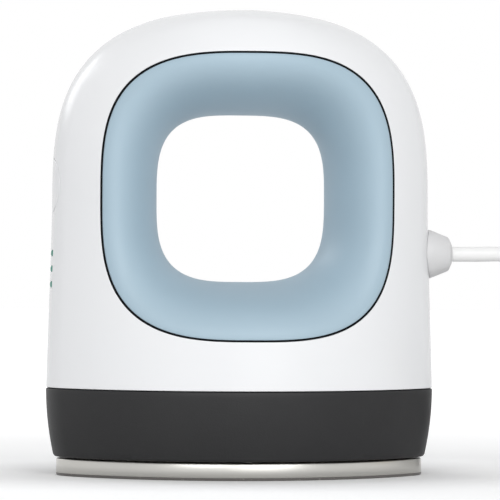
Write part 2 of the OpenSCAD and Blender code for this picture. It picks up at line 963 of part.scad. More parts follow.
module light_pipes() {
    led_h = 0.8;
    back = -control_board_x - led_h - seat;
    front = -side_x(light_z) - cut;
    color("mediumseagreen")
        for (i = [0:light_count - 1]) {
            z = light_z + i * light_pitch;
            intersection() {
                end_form(z, 0, light_h);
                translate([front, -light_w / 2, z - light_h / 2])
                    cube([back - front, light_w, light_h]);
            }
        }
}

// ---- Cord: strain relief, clamp, lead, coil and plug ----

module cord_gland() {
    flange_t = 1.2;
    neck_start = -wall - flange_t - 2.1;
    base_room = 0.2;         // off the shells, which widen a little below the cord
    base_rim = 0.3;
    tip_rim = 0.5;           // flat rim round the cord at the tapered end
    color("whitesmoke")
        translate([gland_x, 0, cord_z])
        rotate([0, 90, 0])
        rotate_extrude()
        polygon([
            [cord_d / 2 + fit, neck_start],
            [gland_flange_r, neck_start],
            [gland_flange_r, neck_start + flange_t],
            [gland_neck_r, neck_start + flange_t],
            [gland_neck_r, base_room],
            [gland_d / 2, base_room],
            [gland_d / 2, base_room + base_rim],
            [gland_tip_d / 2, gland_l - gland_chamfer],
            [cord_d / 2 + tip_rim, gland_l],
            [cord_d / 2 + fit, gland_l]
        ]);
}

// Posts in the front shell that carry the cord clamp
module clamp_posts() {
    r = small_screw_d / 2 + 1.2;
    for (dz = [-clamp_screw_dz, clamp_screw_dz]) {
        z = cord_z + dz;
        back = skin(clamp_x + r, z, wall / 2);
        difference() {
            translate([clamp_x, -clamp_d / 2, z])
                rotate([90, 0, 0])
                cylinder(r = r, h = back - clamp_d / 2);
            translate([clamp_x, -clamp_d / 2 + cut, z])
                rotate([90, 0, 0])
                cylinder(r = small_screw_d / 2 + fit, h = back - clamp_d / 2 - 1.5 + cut);
        }
    }
}

module cord_clamp() {
    color("gainsboro")
        difference() {
            translate([clamp_x - clamp_w / 2, -clamp_d / 2, cord_z - clamp_h / 2])
                cube([clamp_w, clamp_d, clamp_h]);
            translate([clamp_x - clamp_w, 0, cord_z])
                rotate([0, 90, 0])
                cylinder(r = cord_d / 2 + fit, h = 2 * clamp_w);
            for (dz = [-clamp_screw_dz, clamp_screw_dz])
                translate([clamp_x, clamp_d, cord_z + dz])
                rotate([90, 0, 0])
                cylinder(r = small_screw_d / 2 + seat, h = 2 * clamp_d);
        }
}

module clamp_screws() {
    color("silver")
        for (dz = [-clamp_screw_dz, clamp_screw_dz])
        translate([clamp_x, clamp_d / 2, cord_z + dz])
        rotate([-90, 0, 0])
        screw(small_screw_d, clamp_d + small_screw_l / 2, small_screw_d * 0.5);
}

module cord_tail() {
    color("white")
        translate([cord_tail_x, 0, cord_z])
        rotate([0, 90, 0])
        cylinder(d = cord_d, h = gland_end - cord_tail_x);
}

module cord_lead() {
    color("white")
        tube(lead_route, cord_d / 2, lead_sides);
}

// Radius of the coil after some turns: in for one layer, out for the next
function coil_r(turns) =
    let (leg = floor(turns / coil_turns), way = turns - leg * coil_turns)
    coil_outer_r - coil_step * (leg % 2 == 0 ? way : coil_turns - way);

function smooth(share) = let (s = min(1, max(0, share))) s * s * (3 - 2 * s);

// Height gained after some turns: one layer in the half turn round each reversal
function coil_rise(turns) =
    coil_step * total([for (k = [1:coil_layers]) smooth((turns - k * coil_turns) / climb + 0.5)]);

function coil_point(turns) =
    let (angle = 180 - 360 * turns, r = coil_r(turns))
    [coil_centre.x + r * cos(angle), coil_centre.y + r * sin(angle), lead_end.z + coil_rise(turns)];

// The coil's last turn runs straight for half a millimetre, so that the next piece meets it squarely
function coil_end() = coil_point(coil_turns_all) + [0, 0.5, 0];

function coil_route() =
    let (steps = round(coil_turns_all * coil_loop_steps))
    [lead_end, for (i = [0:steps]) coil_point(coil_turns_all * i / steps), coil_end()];

// Point of the cord between the coil and the plug, at a share of its half turn
function tail_point(share) =
    let (
        angle = 180 - 180 * share,
        r = coil_outer_r + (tail_r - coil_outer_r) * smooth((share - 0.1) / 0.9),
        rise = plug_start.z - lead_end.z - coil_step * coil_layers
    )
    [
        coil_centre.x + r * cos(angle),
        coil_centre.y + r * sin(angle),
        lead_end.z + coil_rise(coil_turns_all + share / 2) + rise * smooth((share - 0.3) / 0.7)
    ];

function tail_route() = [
    coil_end(), coil_end() + [0, 0.7, 0],
    for (i = [1:tail_steps]) tail_point(i / tail_steps),
    plug_start
];

// Least gap between stretches of the cord that lie at least half a turn apart
function least_gap(route) = min([
    for (i = [0:len(route) - 1], j = [i + coil_loop_steps / 2:len(route) - 1])
    if (j < len(route)) norm(route[i] - route[j])
]) - cord_d;

module cord_coil() {
    color("white")
        tube(coil_route(), cord_d / 2, coil_sides);
}

// Outline round the coil's turns on the body's side, a distance from the middle of the outermost ones
module tie_outline(reach) {
    coil_inner_r = coil_outer_r - coil_step * coil_turns - cord_d / 2;
    inner_x = -sqrt(pow(coil_inner_r, 2) - pow(tie_w / 2, 2)) - cord_d / 2;
    corners = [
        [-coil_outer_r, 0],
        [inner_x, 0],
        [inner_x, coil_step * (coil_layers - 1.25)],
        [-coil_outer_r, coil_step * (coil_layers - 0.5) + tie_room]
    ];
    hull()
        for (p = corners)
        translate(p)
        circle(r = reach, $fn = 32);
}

// Strap round the turns of the coil; its top slants, because the last turn is half a layer up there
module cord_tie() {
    color("lightgray")
        translate([coil_centre.x, coil_centre.y + tie_w / 2, lead_end.z])
        rotate([90, 0, 0])
        linear_extrude(tie_w)
        difference() {
            tie_outline(cord_d / 2 + tie_room + tie_t);
            tie_outline(cord_d / 2 + tie_room);
        }
}

// Flat box with round corners
module rounded_box(w, h, r) {
    square([w - 2 * r, h], center = true);
    square([w, h - 2 * r], center = true);
    for (x = [-1, 1], y = [-1, 1])
        translate([x * (w / 2 - r), y * (h / 2 - r)])
        circle(r = r);
}

module plug_tail() {
    color("white")
        tube(tail_route(), cord_d / 2, lead_sides);
}

// Block with four rounded long edges, along -Y from its front face
module plug_block(w, l, h, r) {
    rotate([90, 0, 0])
        linear_extrude(l)
        rounded_box(w, h, r);
}

module plug_body() {
    neck_l = 12;
    neck_r = 4;
    grip_l = 8;
    corner = 4;
    color("white")
        translate(plug_start)
        difference() {
            union() {
                rotate([90, 0, 0])
                    cylinder(r1 = neck_r * 0.7, r2 = neck_r, h = neck_l);
                translate([0, -neck_l, 0])
                    plug_block(plug_w - 5, grip_l, plug_h - 3, corner);
                translate([0, -neck_l - grip_l, 0])
                    plug_block(plug_w, plug_l - neck_l - grip_l, plug_h, corner);
            }
            for (side = [-1, 1])
                translate([side * blade_span / 2 - blade_t / 2, -plug_l - cut, -blade_w / 2])
                cube([blade_t, blade_root + cut, blade_w]);
        }
}

module plug_blades() {
    color("goldenrod")
        for (side = [-1, 1])
        translate([
            plug_start.x + side * blade_span / 2 - blade_t / 2,
            plug_start.y - plug_l - blade_l,
            plug_start.z - blade_w / 2
        ])
        cube([blade_t, blade_l + blade_root, blade_w]);
}

front_shell();
rear_shell();
shell_screws();
front_grip_ring();
rear_grip_ring();
front_trim_bead();
rear_trim_bead();
base_skirt();
heat_plate();
plate_coating();
plate_screws();
heating_element();
element_terminals();
insulation_board();
heat_shield();
thermistor();
thermal_fuse();
power_board();
board_screws();
terminal_block();
power_relay();
capacitor();
heater_wires();
sensor_wires();
mains_wires();
control_wires();
control_board();
tact_switch();
switch_actuator();
power_button();
indicator_leds();
light_pipes();
cord_gland();
cord_clamp();
clamp_screws();
cord_tail();
cord_lead();
cord_coil();
cord_tie();
plug_tail();
plug_body();
plug_blades();
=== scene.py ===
import bpy
import bmesh
import json
import math
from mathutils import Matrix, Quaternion, Vector


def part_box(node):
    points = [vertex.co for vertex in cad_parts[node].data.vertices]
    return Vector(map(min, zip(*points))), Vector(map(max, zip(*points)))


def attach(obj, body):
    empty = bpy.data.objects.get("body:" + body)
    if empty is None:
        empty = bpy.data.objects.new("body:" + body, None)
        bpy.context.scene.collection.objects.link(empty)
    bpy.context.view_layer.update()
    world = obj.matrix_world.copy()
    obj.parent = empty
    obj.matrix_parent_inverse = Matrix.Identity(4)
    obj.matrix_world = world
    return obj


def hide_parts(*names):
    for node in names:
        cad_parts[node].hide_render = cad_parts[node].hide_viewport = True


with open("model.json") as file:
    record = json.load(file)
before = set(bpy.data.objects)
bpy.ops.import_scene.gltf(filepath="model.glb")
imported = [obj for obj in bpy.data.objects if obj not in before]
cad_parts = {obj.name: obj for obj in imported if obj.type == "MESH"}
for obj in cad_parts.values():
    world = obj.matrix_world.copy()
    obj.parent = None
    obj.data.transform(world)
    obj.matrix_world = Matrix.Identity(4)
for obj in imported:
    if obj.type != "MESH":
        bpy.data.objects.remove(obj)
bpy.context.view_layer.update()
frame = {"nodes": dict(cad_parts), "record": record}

print("frame loaded:", len(frame["nodes"]), "nodes")


def addToScene(name, data):
    piece = bpy.data.objects.new(name, data)
    bpy.context.scene.collection.objects.link(piece)
    return piece


# camera, at the place the photograph was taken from, in metres
view = {
    "turn": -6,            # degrees round the object, towards the button's end
    "distance": 0.780,
    "height": 0.0474,
    "aimX": 0.0022,
    "aimZ": 0.05144,
    "lens": 245,
    "roll": 0.27,
}


def placeCamera():
    turn = math.radians(view["turn"])
    place = Vector((view["distance"] * math.sin(turn), -view["distance"] * math.cos(turn), view["height"]))
    aim = Vector((view["aimX"], 0, view["aimZ"]))
    lens = bpy.data.cameras.new("photoCamera")
    lens.sensor_fit = "HORIZONTAL"
    lens.sensor_width = 36
    lens.lens = view["lens"]
    lens.clip_start = 0.01
    camera = addToScene("photoCamera", lens)
    camera.location = place
    track = (aim - place).to_track_quat("-Z", "Y")
    camera.rotation_euler = (track @ Quaternion((0, 0, 1), math.radians(view["roll"]))).to_euler()
    bpy.context.scene.camera = camera


placeCamera()


# cord: down to the table, round the coil and out to the plug; this and every later piece is in millimetres
cord = {
    "diameter": 3.5,
    "exitZ": 50.7,
    "coilRadius": 27.5,      # middle of the outermost turn
    "layers": 4,
    "turns": 3,              # in each layer
    "gap": 0.5,
    "climb": 0.5,            # share of a turn in which the cord climbs a layer
    "pointsPerTurn": 24,
    "tailRadius": 15,        # where the last half turn ends, over the coil
    "tailInFrom": 0.1, "tailUpFrom": 0.3,       # shares of it after which it goes inwards and up
    "tailPoints": 14,
    "plugHeight": 17,
    "plugRoom": 0.1,         # between the coil and the plug that lies on it
    "plugBack": 1,
}
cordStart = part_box("cord_gland")[1][0] * 1000
leadRoute = [
    (cordStart, 0, cord["exitZ"]), (55, 0, cord["exitZ"]), (61.5, 0, cord["exitZ"]), (67.6, 0, 49.5), (72.8, 0, 46),
    (76.3, 0, 40.8), (77.5, 0, 34.7), (77.5, 0, 26), (77.5, 0, 18.8), (77.5, 1.2, 12.6), (77.5, 4.7, 7.4),
    (77.5, 9.9, 4), (77.5, 16, 2.75), (77.5, 18, 2.75),
]
coilStep = cord["diameter"] + cord["gap"]
coilCentre = Vector((leadRoute[-1][0] + cord["coilRadius"], leadRoute[-1][1] + cord["diameter"], leadRoute[-1][2]))
coilTop = coilCentre.z + coilStep * (cord["layers"] - 1) + cord["diameter"] / 2
plugZ = coilTop + cord["plugRoom"] + cord["plugHeight"] / 2
plugStart = Vector((coilCentre.x + cord["tailRadius"], coilCentre.y - cord["plugBack"], plugZ))


def smooth(share):
    s = min(1, max(0, share))
    return s * s * (3 - 2 * s)


def smoothFrom(start, share):
    return smooth((share - start) / (1 - start))


def coilRise(turns):
    layers = range(1, cord["layers"] + 1)
    return coilStep * sum(smooth((turns - k * cord["turns"]) / cord["climb"] + 0.5) for k in layers)


def coilPoint(turns):
    layer = math.floor(turns / cord["turns"])
    way = turns - layer * cord["turns"]
    radius = cord["coilRadius"] - coilStep * (way if layer % 2 == 0 else cord["turns"] - way)
    angle = math.pi - 2 * math.pi * turns
    return coilCentre + Vector((radius * math.cos(angle), radius * math.sin(angle), coilRise(turns)))


def tailPoint(share):
    # half a turn inwards, up on the coil, to the plug
    angle = math.pi * (1 - share)
    radius = cord["coilRadius"] + (cord["tailRadius"] - cord["coilRadius"]) * smoothFrom(cord["tailInFrom"], share)
    climb = plugStart.z - coilCentre.z - coilStep * cord["layers"]
    rise = coilRise(cord["layers"] * cord["turns"] + share / 2) + climb * smoothFrom(cord["tailUpFrom"], share)
    return coilCentre + Vector((radius * math.cos(angle), radius * math.sin(angle), rise))


def cordRoute():
    whole = cord["layers"] * cord["turns"]
    steps = round(whole * cord["pointsPerTurn"])
    route = [Vector(p) for p in leadRoute]
    route += [coilPoint(whole * i / steps) for i in range(steps + 1)]
    route += [tailPoint(i / cord["tailPoints"]) for i in range(1, cord["tailPoints"] + 1)]
    return route + [plugStart]


def makeCord(route):
    line = bpy.data.curves.new("mainsCord", "CURVE")
    line.dimensions = "3D"
    line.bevel_depth = 1             # the points' own radius gives the cord's
    line.bevel_resolution = 5
    line.resolution_u = 4
    line.use_fill_caps = True
    spline = line.splines.new("BEZIER")
    spline.bezier_points.add(len(route) - 1)
    for point, at in zip(spline.bezier_points, route):
        point.co = at / 1000
        point.radius = cord["diameter"] / 2000
        point.handle_left_type = point.handle_right_type = "AUTO"
    return addToScene("mainsCord", line)


mainsCord = makeCord(cordRoute())
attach(mainsCord, "housing")
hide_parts("cord_lead", "cord_coil", "plug_tail")
print("camera and cord placed")


# outline of the body, as the source has it
body = {
    "width": 88.8, "depth": 57, "height": 106, "endRadius": 14,
    "waist": 86.4, "archZ": 60, "leanZ": 56, "wall": 2.2,
    "archSidePower": 3.2, "archTopPower": 2.55, "leanPower": 4, "crownPower": 3.5,
    "easeIntoArch": 1.15,    # takes the kink out where the straight side meets the arch
    "planPoints": 72,
}
grip = {
    "z": 63.2, "ringWidth": 66, "ringHeight": 64.2, "holeWidth": 38.8, "holeHeight": 38.2,
    "ringPower": 3.15, "holePower": 3.3, "beadWidth": 0.45,
}
base = {
    "seamZ": 20, "skirtZ": 4.3, "taper": 1.8, "seamGap": 0.2,
    "upperEdge": 0.25, "upperMiddle": 0.07, "lowerEdge": 0.5,   # rounded edges, and a point halfway round the upper
    "wallRings": 14, "edgeRings": 6, "insideTop": 11.6,
    "rimHeight": 3, "rimInset": 2.45, "rimThickness": 1.4,      # the rim stands up inside the shells
    "deckInset": 3.2, "deckLow": 11.2, "deckHigh": 13.2,
}
halfWidth = body["width"] / 2
halfDepth = body["depth"] / 2


def bowRadius(a, b, endRadius):
    return (a * a + b * b - 2 * a * endRadius) / (2 * (b - endRadius))


def lensPoint(angle, a, b, endRadius):
    bow = bowRadius(a, b, endRadius)
    if angle <= math.atan2(bow - b, a - endRadius):
        return (a - endRadius + endRadius * math.cos(angle), endRadius * math.sin(angle))
    return (bow * math.cos(angle), b - bow + bow * math.sin(angle))


def lensOutline(a, b, endRadius, steps):
    quarter = [lensPoint(math.pi / 2 * i / steps, a, b, endRadius) for i in range(steps)]
    half = quarter + [(0, b)] + [(-x, y) for x, y in reversed(quarter[1:])]
    return half + [(-x, -y) for x, y in half]


sideBow = bowRadius(halfWidth, halfDepth, body["endRadius"])


def sideX(z, inset=0):
    if z < body["archZ"]:
        t = (z - base["seamZ"]) / (body["archZ"] - base["seamZ"])
        return body["waist"] / 2 + (halfWidth - body["waist"] / 2) * max(0, 1 - t) ** body["easeIntoArch"] - inset
    t = min(1, (z - body["archZ"]) / (body["height"] - inset - body["archZ"]))
    return (body["waist"] / 2 - inset) * (1 - t ** body["archSidePower"]) ** (1 / body["archTopPower"])


def faceY(z, inset=0):
    t = min(1, max(0, z - body["leanZ"]) / (body["height"] - inset - body["leanZ"]))
    return (halfDepth - inset) * (1 - t ** body["leanPower"]) ** (1 / body["crownPower"])


def bowDepth(x):
    centre = halfWidth - body["endRadius"]
    if abs(x) <= sideBow * centre / (sideBow - body["endRadius"]):
        return halfDepth - sideBow + math.sqrt(sideBow ** 2 - x * x)
    return math.sqrt(max(0, body["endRadius"] ** 2 - (abs(x) - centre) ** 2))


def skinY(x, z, inset=0):
    return faceY(z, inset) / halfDepth * bowDepth(x * halfWidth / max(0.01, sideX(z, inset)))


def endX(y, z):
    # how far out the body's end stands at a depth y and a height z
    depth = abs(y) * halfDepth / faceY(z)
    centre = halfWidth - body["endRadius"]
    if depth <= body["endRadius"] * (sideBow - halfDepth) / (sideBow - body["endRadius"]):
        x = centre + math.sqrt(body["endRadius"] ** 2 - depth ** 2)
    else:
        x = math.sqrt(sideBow ** 2 - (depth - halfDepth + sideBow) ** 2)
    return x * sideX(z) / halfWidth


def squareRing(angle, a, b, power):
    reach = ((abs(math.cos(angle)) / a) ** power + (abs(math.sin(angle)) / b) ** power) ** (-1 / power)
    return (reach * math.cos(angle), grip["z"] + reach * math.sin(angle))


def gripEdge(angle, grow):
    return squareRing(angle, grip["ringWidth"] / 2 + grow, grip["ringHeight"] / 2 + grow, grip["ringPower"])


def holeEdge(angle, grow):
    return squareRing(angle, grip["holeWidth"] / 2 + grow, grip["holeHeight"] / 2 + grow, grip["holePower"])


# a small round along an open edge: how far outwards and down each step is, as shares of its size
lipRound = ((0, 1), (0.25, 0.3), (0.6, 0.06))


def newPiece(name, points, faces, sharpAngle):
    mesh = bpy.data.meshes.new(name)
    mesh.from_pydata([Vector(p) / 1000 for p in points], [], faces)
    tidy = bmesh.new()
    tidy.from_mesh(mesh)
    bmesh.ops.recalc_face_normals(tidy, faces=tidy.faces)
    tidy.to_mesh(mesh)
    tidy.free()
    mesh.shade_smooth()
    mesh.set_sharp_from_angle(angle=math.radians(sharpAngle))
    return addToScene(name, mesh)


def ringSolid(name, rings, closeLoop=True, sharpAngle=32):
    # skin through rings of equally many points: back to the first ring, or capped at both ends
    count = len(rings[0])
    pairs = [(i, (i + 1) % len(rings)) for i in range(len(rings) if closeLoop else len(rings) - 1)]
    faces = [
        (a * count + j, a * count + (j + 1) % count, b * count + (j + 1) % count, b * count + j)
        for a, b in pairs for j in range(count)
    ]
    if not closeLoop:
        faces += [tuple(range(count)), tuple(range((len(rings) - 1) * count, len(rings) * count))]
    return newPiece(name, [p for ring in rings for p in ring], faces, sharpAngle)


def joinPieces(name, pieces):
    # one object of several closed solids
    whole = bmesh.new()
    for piece in pieces:
        whole.from_mesh(piece.data)
        old = piece.data
        bpy.data.objects.remove(piece)
        bpy.data.meshes.remove(old)
    mesh = bpy.data.meshes.new(name)
    whole.to_mesh(mesh)
    whole.free()
    return addToScene(name, mesh)


def settle(piece, bodyName, slotName, *nodes):
    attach(piece, bodyName)
    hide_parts(*nodes)
    return piece


def mirrored(rings):
    return [[(x, -y, z) for x, y, z in ring] for ring in rings]


def roundAngles(count):
    return [2 * math.pi * i / count for i in range(count)]


def endCircle(x, z, radius, count):
    # a circle that looks along x, round a height on the body's middle plane
    return [(x, radius * math.cos(a), z + radius * math.sin(a)) for a in roundAngles(count)]


def roundBox(w, h, r, steps=8):
    # outline of a flat box with round corners, round the middle
    points = []
    for corner, (sx, sy) in enumerate([(1, 1), (-1, 1), (-1, -1), (1, -1)]):
        for i in range(steps + 1):
            a = math.pi / 2 * (corner + i / steps)
            points.append((sx * (w / 2 - r) + r * math.cos(a), sy * (h / 2 - r) + r * math.sin(a)))
    return points


shell = {
    "seamPoints": 44, "sidePoints": 26, "archPoints": 66, "faceRings": 54, "insideRings": 10,
    "lip": 0.22,             # small round along every open edge
    "edgeDepth": 1.4,        # how far the edge round the grip ring goes in
    "partingHalfGap": 0.13, "partingRound": 0.06, "partingInside": 0.02,
    "cordHole": 4.4, "cordHolePoints": 64,
    "cutOutside": 2, "cutInside": 6,     # where the openings' cutters start and end
    "keptNormal": 0.75,      # cosine to its face below which a corner gets the face's normal
}


def frontOutline(inset=0, lift=0):
    floorZ = base["seamZ"] + lift
    right = []
    for i in range(1, shell["seamPoints"] + 1):
        x = lensPoint(math.pi / 2 * (1 - i / shell["seamPoints"]), halfWidth, halfDepth, body["endRadius"])[0]
        right.append((x * sideX(floorZ, inset) / halfWidth, floorZ))
    for i in range(1, shell["sidePoints"] + 1):
        z = floorZ + (body["archZ"] - floorZ) * i / shell["sidePoints"]
        right.append((sideX(z, inset), z))
    for i in range(1, shell["archPoints"]):
        s = math.sin(math.pi / 2 * i / shell["archPoints"])
        z = body["archZ"] + (body["height"] - inset - body["archZ"]) * s ** (2 / body["archSidePower"])
        right.append((sideX(z, inset), z))
    left = [(-x, z) for x, z in reversed(right)]
    return [(0, floorZ)] + right + [(0, body["height"] - inset)] + left


def shellRings():
    lip = shell["lip"]
    rim = grip["beadWidth"] / 2
    outer = frontOutline(0, lip)
    angles = [math.atan2(z - grip["z"], x) for x, z in outer]

    def edgeRing(grow, sink):
        return [(x, sink - skinY(x, z), z) for x, z in (gripEdge(a, grow) for a in angles)]

    def spread(reach, outline, grow, inset):
        share = 1 - (1 - reach) ** 2
        ring = []
        for (px, pz), a in zip(outline, angles):
            ex, ez = gripEdge(a, grow)
            x, z = ex + (px - ex) * share, ez + (pz - ez) * share
            ring.append((x, -max(skinY(x, z, inset), 0 if inset else shell["partingHalfGap"]), z))
        return ring

    rings = [edgeRing(rim, shell["edgeDepth"])]
    rings += [edgeRing(rim + out * lip, down * lip) for out, down in lipRound]
    rings += [spread(i / shell["faceRings"], outer, rim + lip, 0) for i in range(shell["faceRings"] + 1)]
    for inset, lift, gap in ((0.3 * lip, 0.3 * lip, shell["partingRound"]), (lip, 0, shell["partingInside"])):
        rings.append([(x, -max(skinY(x, z, inset), gap), z) for x, z in frontOutline(inset, lift)])
    inner = frontOutline(body["wall"], 0)
    rings += [spread(1 - i / shell["insideRings"], inner, rim, body["wall"]) for i in range(shell["insideRings"] + 1)]
    return rings


button = {
    "z": 65.9, "diameter": 12.3, "gap": 0.3, "thickness": 2.4, "lip": 0.2,
    "flange": 1.1, "flangeSink": 2.7, "flangeThickness": 1, "plungerRadius": 1.6, "plungerEdge": 0.2,
    "flangeLeast": 0.1,      # thickness that the flange keeps where the round end sinks deep, and half of it at its rim
    "faceRings": 22, "steps": 96, "holePoints": 128,
}
lights = {
    "lowest": 43.4, "pitch": 3.55, "count": 3, "width": 6, "height": 1.4, "corner": 0.3, "gap": 0.05,
    # share of the way out on its face, and how far it lies under the shell's skin there
    "profile": ((0.02, 0.04), (0.3, 0.04), (0.6, 0.04), (0.85, 0.05), (0.95, 0.08), (1, 0.2)),
}


def openingCutters():
    leftEnd = (-halfWidth - shell["cutOutside"], -halfWidth + shell["cutInside"])
    rightEnd = (halfWidth - shell["cutInside"], halfWidth + shell["cutOutside"])
    reach = button["diameter"] / 2 + button["gap"]
    tools = [ringSolid("cutButton", [endCircle(x, button["z"], reach, button["holePoints"]) for x in leftEnd], False)]
    for k in range(lights["count"]):
        z = lights["lowest"] + k * lights["pitch"]
        outline = roundBox(lights["width"] + 2 * lights["gap"], lights["height"] + 2 * lights["gap"], lights["corner"])
        tools.append(ringSolid("cutLight", [[(x, p[0], z + p[1]) for p in outline] for x in leftEnd], False))
    circles = [endCircle(x, cord["exitZ"], shell["cordHole"], shell["cordHolePoints"]) for x in rightEnd]
    tools.append(ringSolid("cutGland", circles, False))
    return joinPieces("openingCutters", tools)


def cutOpenings(piece, cutter):
    # the cut mesh keeps the smooth normals of the uncut skin
    whole = addToScene("uncut", piece.data.copy())
    cut = piece.modifiers.new("openings", "BOOLEAN")
    cut.operation = "DIFFERENCE"
    cut.solver = "EXACT"
    cut.object = cutter
    copy = piece.modifiers.new("normals", "DATA_TRANSFER")
    copy.object = whole
    copy.use_loop_data = True
    copy.data_types_loops = {"CUSTOM_NORMAL"}
    copy.loop_mapping = "POLYINTERP_NEAREST"
    bpy.context.view_layer.update()
    done = bpy.data.meshes.new_from_object(piece.evaluated_get(bpy.context.evaluated_depsgraph_get()))
    piece.modifiers.clear()
    piece.data = done
    normals = [corner.vector.copy() for corner in done.corner_normals]
    for face in done.polygons:
        for k in face.loop_indices:
            if normals[k].dot(face.normal) < shell["keptNormal"]:
                normals[k] = face.normal.copy()
    done.normals_split_custom_set(normals)
    bpy.data.objects.remove(whole)


cutter = openingCutters()
halves = [ringSolid("shellFront", shellRings()), ringSolid("shellRear", mirrored(shellRings()))]
for half, node in zip(halves, ("front_shell", "rear_shell")):
    cutOpenings(half, cutter)
    settle(half, "housing", "shell", node)
bpy.data.objects.remove(cutter)
print("shells made")


# grip rings, and the dark beads between them and the shells
gripShape = {
    "points": 288, "rings": 44, "insideRings": 8, "lip": 0.22, "edgeDepth": 1.4,
    "startAngle": 1.3,       # degrees, past the small round along the edge
    "partingHalfGap": 0.12,
}
bead = {"room": 0.01, "sink": 0.2, "edgeSink": 0.26, "back": 1.45}


def edgeSlope(x, z, step=0.5):
    # how fast the skin's depth changes from the ring's edge inwards
    length = math.hypot(x, z - grip["z"])
    stepX, stepZ = -x / length * step, (grip["z"] - z) / length * step
    return (skinY(x + stepX, z + stepZ) - skinY(x, z)) / step


def funnelRing(turn, back):
    rim = grip["beadWidth"] / 2
    ring = []
    for a in roundAngles(gripShape["points"]):
        ex, ez = gripEdge(a, -rim)
        hx, hz = holeEdge(a, back)
        share = math.sin(turn)
        swell = edgeSlope(ex, ez) * math.hypot(hx - ex, hz - ez) * share * (1 - share) ** 2
        depth = (skinY(ex, ez) - back) * math.cos(turn) + swell
        if back == 0:
            depth = max(depth, gripShape["partingHalfGap"])
        ring.append((ex + (hx - ex) * share, -depth, ez + (hz - ez) * share))
    return ring


def gripEdgeRing(grow, sink):
    points = [gripEdge(a, grow) for a in roundAngles(gripShape["points"])]
    return [(x, sink - skinY(x, z), z) for x, z in points]


def gripRings():
    rim, lip = grip["beadWidth"] / 2, gripShape["lip"]
    rings = [gripEdgeRing(-rim, gripShape["edgeDepth"])]
    rings += [gripEdgeRing(-rim - out * lip, down * lip) for out, down in lipRound[:2]]
    start = math.radians(gripShape["startAngle"])
    for i in range(gripShape["rings"] + 1):
        rings.append(funnelRing(start + (math.pi / 2 - start) * i / gripShape["rings"], 0))
    points = [holeEdge(a, lip) for a in roundAngles(gripShape["points"])]
    rings.append([(x, -shell["partingInside"], z) for x, z in points])
    for i in range(gripShape["insideRings"] + 1):
        rings.append(funnelRing(math.pi / 2 * (1 - i / gripShape["insideRings"]), body["wall"]))
    return rings


def beadRings():
    rim = grip["beadWidth"] / 2 - bead["room"]
    middle, edge, back = bead["sink"], bead["edgeSink"], bead["back"]
    profile = ((-1, back), (-1, edge), (-0.5, middle), (0.5, middle), (1, edge), (1, back))
    return [gripEdgeRing(side * rim, sink) for side, sink in profile]


settle(ringSolid("gripRingFront", gripRings()), "housing", "grip", "front_grip_ring")
settle(ringSolid("gripRingRear", mirrored(gripRings())), "housing", "grip", "rear_grip_ring")
settle(ringSolid("trimBeadFront", beadRings(), sharpAngle=60), "housing", "trim", "front_trim_bead")
settle(ringSolid("trimBeadRear", mirrored(beadRings()), sharpAngle=60), "housing", "trim", "rear_trim_bead")
print("grip rings made")


# skirt, plate and its coat
plate = {
    "width": 84, "depth": 49, "endRadius": 9, "thickness": 3.3, "coat": 0.6,
    # rounded edges: inset, and distance from the face
    "lowEdge": ((0.15, 0), (0.04, 0.04), (0, 0.15)),
    "topEdge": ((0, 0.35), (0.1, 0.1), (0.35, 0)),
    "coatEdge": ((0.3, 0), (0.15, 0.04), (0.05, 0.14), (0, 0.3)),
    "coatRoom": 0.02,
    "bossX": 33, "bossY": 16.7, "bossRadius": 3.2, "bossSink": 0.5, "bossTop": 11.2, "bossPoints": 48,
}


def skirtInset(z):
    return base["taper"] * ((base["seamZ"] - z) / (base["seamZ"] - base["skirtZ"])) ** 2


def bodyRing(inset, z):
    return [
        (x * (halfWidth - inset) / halfWidth, y * (halfDepth - inset) / halfDepth, z)
        for x, y in lensOutline(halfWidth, halfDepth, body["endRadius"], body["planPoints"])
    ]


def plateRing(inset, z):
    a, b = plate["width"] / 2 - inset, plate["depth"] / 2 - inset
    return [(x, y, z) for x, y in lensOutline(a, b, plate["endRadius"] - inset, body["planPoints"])]


def makeSkirt():
    top, low = base["seamZ"] - base["seamGap"], base["skirtZ"]
    edge, middle, rounded = base["upperEdge"], base["upperMiddle"], base["lowerEdge"]
    rimTop, rimInside = base["seamZ"] + base["rimHeight"], base["rimInset"] + base["rimThickness"]
    rings = [bodyRing(rimInside, top), bodyRing(rimInside, rimTop)]
    rings += [bodyRing(base["rimInset"], rimTop), bodyRing(base["rimInset"], top)]
    rings += [bodyRing(skirtInset(top) + edge, top), bodyRing(skirtInset(top) + middle, top - middle)]
    for i in range(base["wallRings"] + 1):
        z = top - edge - (top - edge - low - rounded) * i / base["wallRings"]
        rings.append(bodyRing(skirtInset(z), z))
    for i in range(1, base["edgeRings"] + 1):
        a = math.pi / 2 * i / base["edgeRings"]
        rings.append(bodyRing(skirtInset(low) + rounded * (1 - math.cos(a)), low + rounded * (1 - math.sin(a))))
    inside = skirtInset(low) + body["wall"]
    rings += [bodyRing(inside, low), bodyRing(inside, base["insideTop"])]
    deck = [bodyRing(base["deckInset"], z) for z in (base["deckLow"], base["deckHigh"])]
    return joinPieces("baseSkirt", [ringSolid("skirtWall", rings), ringSolid("skirtDeck", deck, False)])


def makePlate():
    low, high = plate["coat"], plate["coat"] + plate["thickness"]
    rings = [plateRing(inset, low + rise) for inset, rise in plate["lowEdge"]]
    rings += [plateRing(inset, high - drop) for inset, drop in plate["topEdge"]]
    pieces = [ringSolid("plateDisc", rings, False)]
    r = plate["bossRadius"]
    for x, y in ((plate["bossX"], 0), (-plate["bossX"], 0), (0, plate["bossY"]), (0, -plate["bossY"])):
        pieces.append(ringSolid("plateBoss", [
            [(x + r * math.cos(a), y + r * math.sin(a), z) for a in roundAngles(plate["bossPoints"])]
            for z in (high - plate["bossSink"], plate["bossTop"])
        ], False))
    return joinPieces("heatPlate", pieces)


